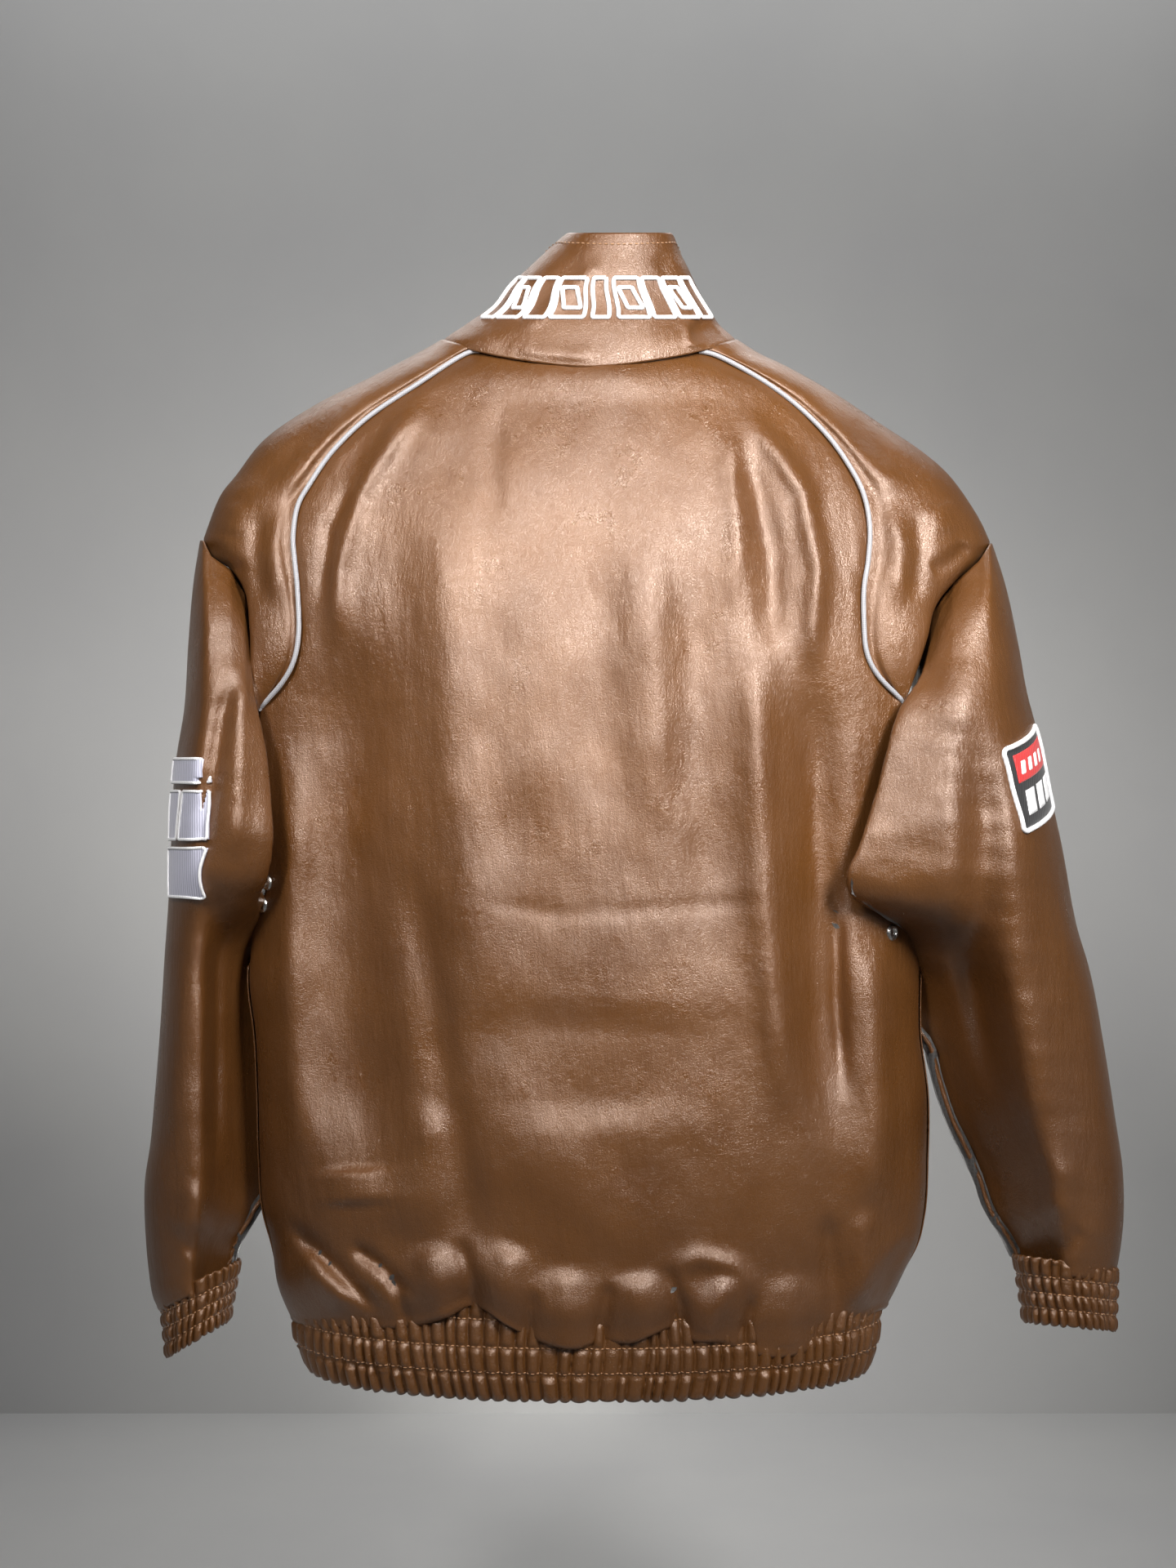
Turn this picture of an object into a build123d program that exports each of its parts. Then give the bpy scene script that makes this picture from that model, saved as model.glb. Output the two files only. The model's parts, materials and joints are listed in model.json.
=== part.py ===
"""A zip-front leather riding jacket, as it hangs on a coat hanger.

Millimetres, +Z up. The wearer faces -Y and the wearer's left is +X. The origin is
the point where a hanger's stem stands in the neck, level with the back neck seam.
"""
from build123d import *
import math
import os

os.makedirs("parts", exist_ok=True)

# ---- driving dimensions -------------------------------------------------------------
LEATHER = 1.2            # coated leather with its backing
LINING = 0.6
BAND = 2.6               # gathered leather of the hem band and the cuffs
ELASTIC = 1.4
STITCH_GAP = 0.3         # air between neighbouring layers

ARMHOLE_X = 205          # torso is open sideways beyond this, from shoulder to underarm
PIVOT_X, PIVOT_Z = 238, -112     # shoulder hinge line, along Y
SHOULDER_TIP_R = 39      # the shoulder panel ends inside this radius about the hinge line
SLEEVE_CAP_R = 40        # and the sleeve starts outside this one
UNDERARM_Z = -395
NECK_X, NECK_DEPTH, NECK_Y = 100, 60, -8
VEE_Z, VEE_HALF_WIDTH, VEE_TOP_Z = -122, 62, 60
ZIP_GAP = 6.8            # half the gap between the two fronts
HEM_TOP_Z, HEM_Z = -646, -688
ZIP_Z_LOW, ZIP_Z_HIGH = -672, -126
FAR_X, FAR_LOW, FAR_HIGH = 400, -800, 200        # beyond the jacket on every side, for cutting slabs

# Body sections: height, half width, depth behind and in front of the hanger plane.
TORSO_SECTIONS = [
    (27, 100, 18, 26), (0, 134, 54, 58), (-27, 185, 66, 68), (-50, 218, 76, 77),
    (-91, 256, 90, 87), (-124, 270, 97, 90), (-180, 268, 104, 90), (-260, 252, 108, 90),
    (-340, 238, 110, 90), (-400, 232, 112, 90), (-480, 229, 112, 90), (-541, 227, 110, 90),
    (-600, 221, 102, 90), (-645, 203, 88, 90),
]
HEM_SECTIONS = [(HEM_TOP_Z, 203, 88, 90), (-668, 200, 86, 90), (HEM_Z, 193, 82, 90)]

# Collar sections: height, centre x, half width, centre y, half depth.
COLLAR_SECTIONS = [(-12, 0, 95, -8, 55), (12, 0, 95, -8, 55), (32, -2, 88, -6, 52),
                   (60, -5, 70, -4, 46), (92, -6, 53, -4, 40)]

# Sleeve sections: height, inner x, outer x, half depth, all as seen from the body's centre.
SLEEVE_SECTIONS = {
    "left": [(-112, 208, 268, 52), (-150, 208, 272, 62), (-193, 208, 275, 70),
             (-267, 210, 282, 80), (-345, 214, 287, 84), (-395, 236, 290, 84),
             (-449, 236, 294, 82), (-533, 233, 301, 72), (-593, 230, 304, 58),
             (-626, 240, 292, 44)],
    "right": [(-112, 208, 270, 52), (-150, 208, 281, 62), (-193, 209, 294, 68),
              (-267, 212, 311, 74), (-345, 217, 327, 76), (-395, 237, 340, 78),
              (-449, 240, 351, 76), (-533, 252, 364, 68), (-593, 276, 367, 54),
              (-618, 292, 362, 38)],
}
CUFF_SECTIONS = {
    "left": [(-627, 240, 292, 44), (-650, 240, 291, 43), (-673, 243, 287, 41)],
    "right": [(-619, 292, 362, 38), (-638, 292, 363, 38), (-657, 298, 362, 36)],
}
UNDER_SLEEVE_WIDTH = 30  # how far the under sleeve reaches out from the inner edge
PATCH_BOX = {            # sleeve emblem: lowest and highest z, depth towards back and front
    "left": (-368, -268, 48, 44),
    "right": (-318, -258, 52, 30),
}
SIDES = {"left": 1, "right": -1}

# Seam between the back (and front) panel and the shoulder panel, as x and z.
PIPING_PATH = [(72, -4), (113, -18), (152, -50), (182, -92), (190, -124),
               (186, -155), (185, -186), (191, -210), (207, -231)]
PIPING_WIDTH, PIPING_HEIGHT = 3.2, 2.4


def finish(builder, name):
    """Labels a finished piece and writes it."""
    builder.part.label = name
    export_step(builder.part, f"parts/{name}.step")


# ---- volumes that several pieces are cut from ---------------------------------------
def ellipse_loft(sections):
    """A smooth solid through ellipses given as z, centre x, half width, centre y, half depth."""
    with BuildPart() as solid:
        for z, x, half_width, y, half_depth in sections:
            with BuildSketch(Plane.XY.offset(z)):
                with Locations((x, y)):
                    Ellipse(half_width, half_depth)
        loft()
    return solid.part


def body_solid(sections, side=0.0, back=0.0, front=0.0):
    """The body's volume, drawn in at the sides, behind and in front."""
    rows = []
    for z, half_width, to_back, to_front in sections:
        to_back, to_front = to_back - back, to_front - front
        rows.append((z, 0, half_width - side, (to_back - to_front) / 2, (to_back + to_front) / 2))
    return ellipse_loft(rows)


def collar_solid(inset):
    return ellipse_loft([(z, x, rx - inset, y, ry - inset) for z, x, rx, y, ry in COLLAR_SECTIONS])


def tube_solid(sections, sign, inset=0.0):
    """A sleeve's or cuff's volume, drawn in by inset."""
    rows = []
    for z, inner, outer, half_depth in sections:
        rows.append((z, sign * (inner + outer) / 2, (outer - inner) / 2 - inset, 0, half_depth - inset))
    return ellipse_loft(rows)


def between(outer, inner):
    """The layer between two volumes."""
    with BuildPart() as layer:
        add(outer)
        add(inner, mode=Mode.SUBTRACT)
    return layer.part


def slab(points, y_low=-200, y_high=200):
    """A prism along Y over an outline of x, z points."""
    with BuildPart() as prism:
        with BuildSketch(Plane.XZ.offset(-y_high)):
            with BuildLine():
                Polyline(*points, close=True)
            make_face()
        extrude(amount=y_high - y_low)
    return prism.part


def drum(sign, radius):
    """A cylinder about the shoulder's hinge line."""
    with BuildPart() as cylinder:
        with BuildSketch(Plane.XZ.offset(-200)):
            with Locations((sign * PIVOT_X, PIVOT_Z)):
                Circle(radius)
        extrude(amount=400)
    return cylinder.part


def shoulder_region(sign):
    """Everything outside the piping line, from the neck to the armhole."""
    path = [(sign * x, z) for x, z in PIPING_PATH]
    with BuildPart() as region:
        with BuildSketch(Plane.XZ.offset(-200)):
            with BuildLine():
                Spline(*path)
                Polyline(path[-1], (sign * 320, -231), (sign * 320, 60), (sign * 66, 60), path[0])
            make_face()
        extrude(amount=400)
    return region.part


def piping_region(sign):
    with BuildPart() as region:
        with BuildSketch(Plane.XZ.offset(-200)):
            with BuildLine():
                Spline(*[(sign * x, z) for x, z in PIPING_PATH])
            trace(line_width=PIPING_WIDTH)
        extrude(amount=400)
    return region.part


def armhole_region(sign):
    """What the sleeve needs of the torso's side, less the shoulder's round tip."""
    edge = [(ARMHOLE_X, PIVOT_Z), (330, PIVOT_Z), (330, UNDERARM_Z), (238, UNDERARM_Z),
            (ARMHOLE_X, UNDERARM_Z + 40)]
    with BuildPart() as region:
        add(slab([(sign * x, z) for x, z in edge]))
        add(drum(sign, SHOULDER_TIP_R), mode=Mode.SUBTRACT)
    return region.part


with BuildPart() as neck_hole:
    with BuildSketch(Plane.XY.offset(-100)):
        with Locations((0, NECK_Y)):
            Ellipse(NECK_X, NECK_DEPTH)
    extrude(amount=200)

VEE = slab([(0, VEE_Z), (VEE_HALF_WIDTH, VEE_TOP_Z), (-VEE_HALF_WIDTH, VEE_TOP_Z)], -200, -6)
BACK_HALF = slab([(-FAR_X, FAR_LOW), (FAR_X, FAR_LOW), (FAR_X, FAR_HIGH), (-FAR_X, FAR_HIGH)], 0, FAR_HIGH)
ARMHOLES = [armhole_region(sign) for sign in SIDES.values()]
SHOULDERS = {name: shoulder_region(sign) for name, sign in SIDES.items()}


def front_quarter(sign, gap):
    """The wearer's left or right of the front, from gap outwards."""
    low, high = sorted((sign * gap, sign * 400))
    return slab([(low, -800), (high, -800), (high, 200), (low, 200)], -200, 0)


# ---- pockets: a slanted line on each front ------------------------------------------
POCKET_MIDDLE = (125.5, -73.4, -472.5)
POCKET_UP = (-0.2087, -0.0606, 0.9761)
POCKET_OUT = (0.279, -0.9603, 0.0)
POCKET_LENGTH, POCKET_SLOT = 150, 10
WELT_LENGTH, WELT_WIDTH = 172, 26
WELT_LIFT = 0.9          # the flat welt stands this far off the front's middle


def pocket_plane(sign, depth=0.0):
    """Local y runs up the pocket, local z out of the jacket."""
    up = Vector(sign * POCKET_UP[0], POCKET_UP[1], POCKET_UP[2])
    out = Vector(sign * POCKET_OUT[0], POCKET_OUT[1], POCKET_OUT[2])
    middle = Vector(sign * POCKET_MIDDLE[0], POCKET_MIDDLE[1], POCKET_MIDDLE[2])
    return Plane(origin=middle + out * depth, x_dir=up.cross(out), z_dir=out)


# ---- outer shell ----------------------------------------------------------------------
leather = between(body_solid(TORSO_SECTIONS),
                  body_solid(TORSO_SECTIONS, LEATHER, LEATHER, LEATHER))

EYELETS = [(200, -352), (207, -372)]    # x and z of each side's vent eyelets
EYELET_R, EYELET_HOLE_R, EYELET_THICK = 5.5, 2.8, 1.0
UNDERARM_SECTION = (236, 100.5, 10.5)   # the body's half width, half depth and middle y at the eyelets


def eyelet_plane(sign, x, z):
    """A plane on the back of the body at x, z, facing out."""
    half_width, half_depth, middle_y = UNDERARM_SECTION
    rise = half_depth * math.sqrt(1 - (x / half_width) ** 2)
    out = Vector(sign * x / half_width**2, rise / half_depth**2, 0).normalized()
    return Plane(origin=(sign * x, middle_y + rise, z), z_dir=out)


with BuildPart() as back_panel:
    add(leather)
    add(BACK_HALF, mode=Mode.INTERSECT)
    for region in (neck_hole.part, *ARMHOLES, *SHOULDERS.values()):
        add(region, mode=Mode.SUBTRACT)
    for sign in SIDES.values():
        for x, z in EYELETS:
            with BuildSketch(eyelet_plane(sign, x, z)):
                Circle(EYELET_HOLE_R)
            extrude(amount=8, both=True, mode=Mode.SUBTRACT)
finish(back_panel, "back_panel")

for name, sign in SIDES.items():
    with BuildPart() as front_panel:
        add(leather)
        add(front_quarter(sign, ZIP_GAP), mode=Mode.INTERSECT)
        for region in (neck_hole.part, VEE, *ARMHOLES, SHOULDERS[name]):
            add(region, mode=Mode.SUBTRACT)
        with BuildSketch(pocket_plane(sign)):
            SlotOverall(POCKET_LENGTH, POCKET_SLOT, rotation=90)
        extrude(amount=12, both=True, mode=Mode.SUBTRACT)
    finish(front_panel, f"front_panel_{name}")

    with BuildPart() as shoulder_panel:
        add(leather)
        add(SHOULDERS[name], mode=Mode.INTERSECT)
        for region in (neck_hole.part, VEE, *ARMHOLES):
            add(region, mode=Mode.SUBTRACT)
    finish(shoulder_panel, f"shoulder_panel_{name}")

piping_layer = between(body_solid(TORSO_SECTIONS, -PIPING_HEIGHT, -PIPING_HEIGHT, -PIPING_HEIGHT),
                       body_solid(TORSO_SECTIONS, -0.1, -0.1, -0.1))
for name, sign in SIDES.items():
    with BuildPart() as piping:
        add(piping_layer)
        add(piping_region(sign), mode=Mode.INTERSECT)
        for region in (neck_hole.part, VEE, *ARMHOLES):
            add(region, mode=Mode.SUBTRACT)
    finish(piping, f"piping_{name}")

for name, sign in SIDES.items():
    with BuildPart() as eyelets:
        for x, z in EYELETS:
            plane = eyelet_plane(sign, x, z).offset(0.5)
            with BuildSketch(plane):
                Circle(EYELET_R)
                Circle(EYELET_HOLE_R, mode=Mode.SUBTRACT)
            extrude(amount=EYELET_THICK)
    finish(eyelets, f"underarm_eyelets_{name}")

# ---- lining ---------------------------------------------------------------------------
LINING_SIDE, LINING_FRONT = 4.0, 9.2
lining_layer = between(body_solid(TORSO_SECTIONS, LINING_SIDE, LINING_SIDE, LINING_FRONT),
                       body_solid(TORSO_SECTIONS, LINING_SIDE + LINING, LINING_SIDE + LINING,
                                  LINING_FRONT + LINING))
with BuildPart() as back_lining:
    add(lining_layer)
    add(BACK_HALF, mode=Mode.INTERSECT)
    for region in (neck_hole.part, *ARMHOLES):
        add(region, mode=Mode.SUBTRACT)
finish(back_lining, "back_lining")

LINING_GAP = 20          # half the width of the strip behind the zip that has no lining
for name, sign in SIDES.items():
    with BuildPart() as front_lining:
        add(lining_layer)
        add(front_quarter(sign, LINING_GAP), mode=Mode.INTERSECT)
        for region in (neck_hole.part, VEE, *ARMHOLES):
            add(region, mode=Mode.SUBTRACT)
    finish(front_lining, f"front_lining_{name}")

BAG_OUTER, BAG_INNER = 6.8, 8.2          # the pocket bag's depth behind the front
bag_layer = between(body_solid(TORSO_SECTIONS, BAG_OUTER, BAG_OUTER, BAG_OUTER),
                    body_solid(TORSO_SECTIONS, BAG_INNER, BAG_INNER, BAG_INNER))
BAG_OUTLINE = [(60, -600), (132, -600), (150, -560), (128, -398), (100, -398), (60, -440)]
for name, sign in SIDES.items():
    with BuildPart() as pocket_bag:
        add(bag_layer)
        add(slab([(sign * x, z) for x, z in BAG_OUTLINE], -200, -20), mode=Mode.INTERSECT)
    finish(pocket_bag, f"pocket_bag_{name}")

# ---- collar -----------------------------------------------------------------------------
# Its free edge drops towards the wearer's left, where the open collar falls outwards.
FALLEN_EDGE = slab([(15, 93), (104, 18), (160, 18), (160, 130), (15, 130)])
COLLAR_THICK = 1.6


# The collar's own opening goes on up along the lines of the neck's vee.
VEE_SLOPE = VEE_HALF_WIDTH / (VEE_TOP_Z - VEE_Z)
VEE_OPEN = slab([(0, VEE_Z), (VEE_SLOPE * (120 - VEE_Z), 120), (-VEE_SLOPE * (120 - VEE_Z), 120)],
                -200, -12)


def collar_layer(outer_inset, inner_inset):
    with BuildPart() as layer:
        add(between(collar_solid(outer_inset), collar_solid(inner_inset)))
        add(FALLEN_EDGE, mode=Mode.SUBTRACT)
        add(VEE_OPEN, mode=Mode.SUBTRACT)
    return layer.part


with BuildPart() as collar:
    add(collar_layer(0, COLLAR_THICK))
finish(collar, "collar")

with BuildPart() as collar_lining:
    add(collar_layer(COLLAR_THICK + STITCH_GAP, COLLAR_THICK + STITCH_GAP + 1.0))
finish(collar_lining, "collar_lining")

# Embroidered row of slanted open blocks across the back of the collar.
BLOCK_COUNT, BLOCK_PITCH, BLOCK_WIDTH, BLOCK_SLANT = 7, 19.0, 14.0, 6.0
BLOCK_Z_LOW, BLOCK_Z_HIGH, BLOCK_LINE = 24, 47, 2.2


def slanted_block(x, grow):
    """Corners of one block about x, grown outwards by grow."""
    half, lean = BLOCK_WIDTH / 2 + grow, BLOCK_SLANT / 2
    low, high = BLOCK_Z_LOW - grow, BLOCK_Z_HIGH + grow
    return [(x - half + lean, low), (x + half + lean, low), (x + half - lean, high), (x - half - lean, high)]


with BuildPart() as collar_embroidery:
    add(between(collar_solid(-0.8), collar_solid(-0.15)))
    with BuildSketch(Plane.XZ.offset(-100)):
        for i in range(BLOCK_COUNT):
            x = (i - (BLOCK_COUNT - 1) / 2) * BLOCK_PITCH
            with BuildLine():
                Polyline(*slanted_block(x, 0), close=True)
            make_face()
            with BuildLine():
                Polyline(*slanted_block(x, -BLOCK_LINE), close=True)
            make_face(mode=Mode.SUBTRACT)
    extrude(amount=80, mode=Mode.INTERSECT)
    add(FALLEN_EDGE, mode=Mode.SUBTRACT)
finish(collar_embroidery, "collar_embroidery")

# ---- neck: hanger loop and blank label ---------------------------------------------------
LOOP_Y = 40.2
with BuildPart() as hanger_loop:
    with BuildSketch(Plane.XZ.offset(-LOOP_Y)):
        with Locations((0, -8)):
            SlotOverall(64, 16)
            SlotOverall(56, 8, mode=Mode.SUBTRACT)
    extrude(amount=1.2)
finish(hanger_loop, "hanger_loop")

with BuildPart() as neck_label:
    with BuildSketch(Plane.XZ.offset(-41)):
        with Locations((0, -38)):
            RectangleRounded(60, 34, 3)
    extrude(amount=0.8)
finish(neck_label, "neck_label")

# ---- hem ----------------------------------------------------------------------------------
ELASTIC_INSET = BAND + 2 * STITCH_GAP
ELASTIC_GAP = 22         # half the gap in the elastic behind the zip


def front_slot(half):
    """A slot of that half width up the middle of the front."""
    return slab([(-half, FAR_LOW), (half, FAR_LOW), (half, 0), (-half, 0)], -FAR_HIGH, 0)



with BuildPart() as hem_band:
    add(between(body_solid(HEM_SECTIONS), body_solid(HEM_SECTIONS, BAND, BAND, LEATHER)))
    add(front_slot(ZIP_GAP), mode=Mode.SUBTRACT)
finish(hem_band, "hem_band")

with BuildPart() as hem_elastic:
    add(between(body_solid(HEM_SECTIONS, ELASTIC_INSET, ELASTIC_INSET, ELASTIC_INSET),
                body_solid(HEM_SECTIONS, *[ELASTIC_INSET + ELASTIC] * 3)))
    add(front_slot(ELASTIC_GAP), mode=Mode.SUBTRACT)
    add(slab([(-FAR_X, HEM_Z + 4), (FAR_X, HEM_Z + 4), (FAR_X, HEM_TOP_Z - 4), (-FAR_X, HEM_TOP_Z - 4)]),
        mode=Mode.INTERSECT)
finish(hem_elastic, "hem_elastic")

# ---- sleeves --------------------------------------------------------------------------------
SLEEVE_OPEN_X, SLEEVE_OPEN_Z = 221, -335     # the inner wall is open to the armhole above this
SLEEVE_LINING_INSET = 2.4


def sleeve_layer(name, outer_inset, inner_inset):
    """A layer of one sleeve, open towards its armhole and clear of the shoulder's tip."""
    sign, sections = SIDES[name], SLEEVE_SECTIONS[name]
    open_side = [(190, -90), (SLEEVE_OPEN_X, -90), (SLEEVE_OPEN_X, SLEEVE_OPEN_Z), (190, SLEEVE_OPEN_Z)]
    with BuildPart() as layer:
        add(between(tube_solid(sections, sign, outer_inset), tube_solid(sections, sign, inner_inset)))
        add(drum(sign, SLEEVE_CAP_R), mode=Mode.SUBTRACT)
        add(slab([(sign * x, z) for x, z in open_side]), mode=Mode.SUBTRACT)
        # nothing of the sleeve stands above the shoulder's hinge line
        add(slab([(sign * 180, PIVOT_Z - 2), (sign * 330, PIVOT_Z - 2), (sign * 330, 0), (sign * 180, 0)]),
            mode=Mode.SUBTRACT)
    return layer.part


def under_sleeve_region(name):
    """The strip of the sleeve that faces the body."""
    sign = SIDES[name]
    edge = [(sign * (inner + UNDER_SLEEVE_WIDTH), z) for z, inner, _, _ in SLEEVE_SECTIONS[name]]
    top, bottom = edge[0], edge[-1]
    return slab([(sign * 150, top[1] + 40), (top[0], top[1] + 40), *edge,
                 (bottom[0], bottom[1] - 20), (sign * 150, bottom[1] - 20)])


for name, sign in SIDES.items():
    skin = sleeve_layer(name, 0, LEATHER)
    under_region = under_sleeve_region(name)
    with BuildPart() as top_sleeve:
        add(skin)
        add(under_region, mode=Mode.SUBTRACT)
    finish(top_sleeve, f"top_sleeve_{name}")

    with BuildPart() as under_sleeve:
        add(skin)
        add(under_region, mode=Mode.INTERSECT)
    finish(under_sleeve, f"under_sleeve_{name}")

    with BuildPart() as sleeve_lining:
        add(sleeve_layer(name, SLEEVE_LINING_INSET, SLEEVE_LINING_INSET + LINING))
    finish(sleeve_lining, f"sleeve_lining_{name}")

    cuff_rows = CUFF_SECTIONS[name]
    with BuildPart() as cuff:
        add(between(tube_solid(cuff_rows, sign), tube_solid(cuff_rows, sign, BAND)))
    finish(cuff, f"cuff_{name}")

    with BuildPart() as cuff_elastic:
        add(between(tube_solid(cuff_rows, sign, ELASTIC_INSET),
                    tube_solid(cuff_rows, sign, ELASTIC_INSET + ELASTIC)))
    finish(cuff_elastic, f"cuff_elastic_{name}")

    low, high, to_back, to_front = PATCH_BOX[name]
    with BuildPart() as sleeve_patch:
        add(between(tube_solid(SLEEVE_SECTIONS[name], sign, -1.0),
                    tube_solid(SLEEVE_SECTIONS[name], sign, -0.15)))
        add(slab([(sign * 245, low), (sign * 340, low), (sign * 340, high), (sign * 245, high)],
                 -to_front, to_back), mode=Mode.INTERSECT)
    finish(sleeve_patch, f"sleeve_patch_{name}")

# ---- zips -----------------------------------------------------------------------------------
# A zip is drawn on a plane whose y runs up the chain and whose z points out of the jacket.
TAPE_THICK = 0.5
CHAIN_GAP = 0.9          # half the air left between the two rows, for the slider's bridge
TOOTH_PITCH = 5.0
FRONT_ZIP_PLANE = Plane(origin=(0, -87.9, 0), x_dir=(1, 0, 0), z_dir=(0, -1, 0))


def zip_tape(plane, side, inner, outer, low, high):
    """One flat tape, from inner to outer across and from low to high along."""
    with BuildPart() as tape:
        with BuildSketch(plane.offset(-TAPE_THICK / 2)):
            with Locations((side * (inner + outer) / 2, (low + high) / 2)):
                Rectangle(outer - inner, high - low)
        extrude(amount=TAPE_THICK)
    return tape


def zip_teeth(plane, side, width, low, high, pitch, half_height):
    """A row of moulded teeth on the tape's inner edge, half a pitch out of step with the other row."""
    count = int((high - low) / pitch)
    start = low + (0.75 if side > 0 else 0.25) * pitch
    with BuildPart() as teeth:
        with BuildSketch(plane):
            with Locations([(side * (CHAIN_GAP + width / 2), start + i * pitch) for i in range(count)]):
                Rectangle(width, pitch * 0.56)
        extrude(amount=half_height, both=True)
    return teeth


def zip_slider(plane, size):
    """A slider: two plates, side flanges, the bridge between them and the pull's lug."""
    half, length, gap, plate = 5.2 * size, 13 * size, 1.9 * size, 0.9 * size
    with BuildPart() as slider:
        for face in (1, -1):
            with BuildSketch(plane.offset(face * gap)):
                SlotOverall(length, 2 * half, rotation=90)
            extrude(amount=face * plate)
            with BuildSketch(plane.offset(face * (TAPE_THICK / 2 + 0.35))):
                with Locations((half - 0.3, 0), (0.3 - half, 0)):
                    Rectangle(0.6, length * 0.3)
            extrude(amount=face * (gap - TAPE_THICK / 2 - 0.1))
        with BuildSketch(plane.offset(-gap - plate / 2)):
            with Locations((0, length * 0.34)):
                Rectangle(1.0, length * 0.2)
        extrude(amount=2 * gap + plate)
        lug_plane = Plane(origin=plane.from_local_coords(Vector(-1.1 * size, 0, gap + plate / 2)),
                          x_dir=plane.y_dir, z_dir=plane.x_dir)
        with BuildSketch(lug_plane):
            with Locations((0, 1.9 * size)):
                RectangleRounded(7.6 * size, 5.2 * size, 1.6 * size)
                Circle(1.35 * size, mode=Mode.SUBTRACT)
        extrude(amount=2.2 * size)
    return slider


def zip_pull(plane, size, drop):
    """A pull: a pin through the lug, two cheeks and a leather tab below them."""
    reach = pull_reach(size)
    centre = plane.from_local_coords(Vector(0, 0, reach))
    with BuildPart() as pull:
        pin_plane = Plane(origin=plane.from_local_coords(Vector(-3.4 * size, 0, reach)),
                          x_dir=plane.y_dir, z_dir=plane.x_dir)
        with BuildSketch(pin_plane):
            Circle(0.9 * size)
        extrude(amount=6.8 * size)
        tab_plane = Plane(origin=centre, x_dir=plane.x_dir, z_dir=plane.z_dir)
        with BuildSketch(tab_plane.offset(-0.8 * size)):
            for side in (1, -1):
                with Locations((side * 2.6 * size, -2.6 * size)):
                    Rectangle(1.6 * size, 7.2 * size)
            with Locations((0, -(5.4 * size + drop) / 2)):
                RectangleRounded(7.2 * size, drop - 5.4 * size, 2.0 * size)
        extrude(amount=1.6 * size)
    return pull


def pull_reach(size):
    """How far in front of the chain the pull's pin lies."""
    return (1.9 + 0.45 + 1.9) * size


TOOTH_WIDTH, POCKET_TOOTH_WIDTH = 3.4, 2.2
TAPE_OUTER, POCKET_TAPE_OUTER = 17, 8
TAPE_CLEAR = 0.02        # air between a row of teeth and the edge of its tape
for name, sign in SIDES.items():
    finish(zip_tape(FRONT_ZIP_PLANE, sign, CHAIN_GAP + TOOTH_WIDTH + TAPE_CLEAR, TAPE_OUTER,
                    ZIP_Z_LOW, ZIP_Z_HIGH),
           f"front_zip_tape_{name}")
    finish(zip_teeth(FRONT_ZIP_PLANE, sign, TOOTH_WIDTH, ZIP_Z_LOW + 14, ZIP_Z_HIGH - 6, TOOTH_PITCH, 1.6),
           f"front_zip_teeth_{name}")

with BuildPart() as front_zip_stops:
    with BuildSketch(FRONT_ZIP_PLANE):
        with Locations((CHAIN_GAP + 1.7, ZIP_Z_HIGH - 3), (-CHAIN_GAP - 1.7, ZIP_Z_HIGH - 3)):
            Rectangle(TOOTH_WIDTH, 3.2)
    extrude(amount=1.5, both=True)
finish(front_zip_stops, "front_zip_stops")

with BuildPart() as front_zip_box:
    for face in (1, -1):
        with BuildSketch(FRONT_ZIP_PLANE.offset(face * (TAPE_THICK / 2 + 0.02))):
            with Locations((0, ZIP_Z_LOW + 6)):
                RectangleRounded(10.4, 11, 1.2)
        extrude(amount=face * 1.5)
    with BuildSketch(FRONT_ZIP_PLANE.offset(-TAPE_THICK)):
        with Locations((0, ZIP_Z_LOW + 6)):
            Rectangle(2 * CHAIN_GAP, 9)
    extrude(amount=2 * TAPE_THICK)
finish(front_zip_box, "front_zip_box")

FRONT_SLIDER_Z = ZIP_Z_HIGH - 18
front_slider_plane = Plane(origin=(0, -87.9, FRONT_SLIDER_Z), x_dir=(1, 0, 0), z_dir=(0, -1, 0))
finish(zip_slider(front_slider_plane, 1.0), "front_slider")
finish(zip_pull(front_slider_plane, 1.0, 38), "front_pull")

with BuildPart() as storm_flap:
    with BuildSketch(Plane.XZ.offset(83.0)):
        with Locations((-4, (HEM_Z + 8 + ZIP_Z_HIGH) / 2)):
            Rectangle(32, ZIP_Z_HIGH - HEM_Z - 8)
    extrude(amount=0.8)
finish(storm_flap, "storm_flap")

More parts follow.
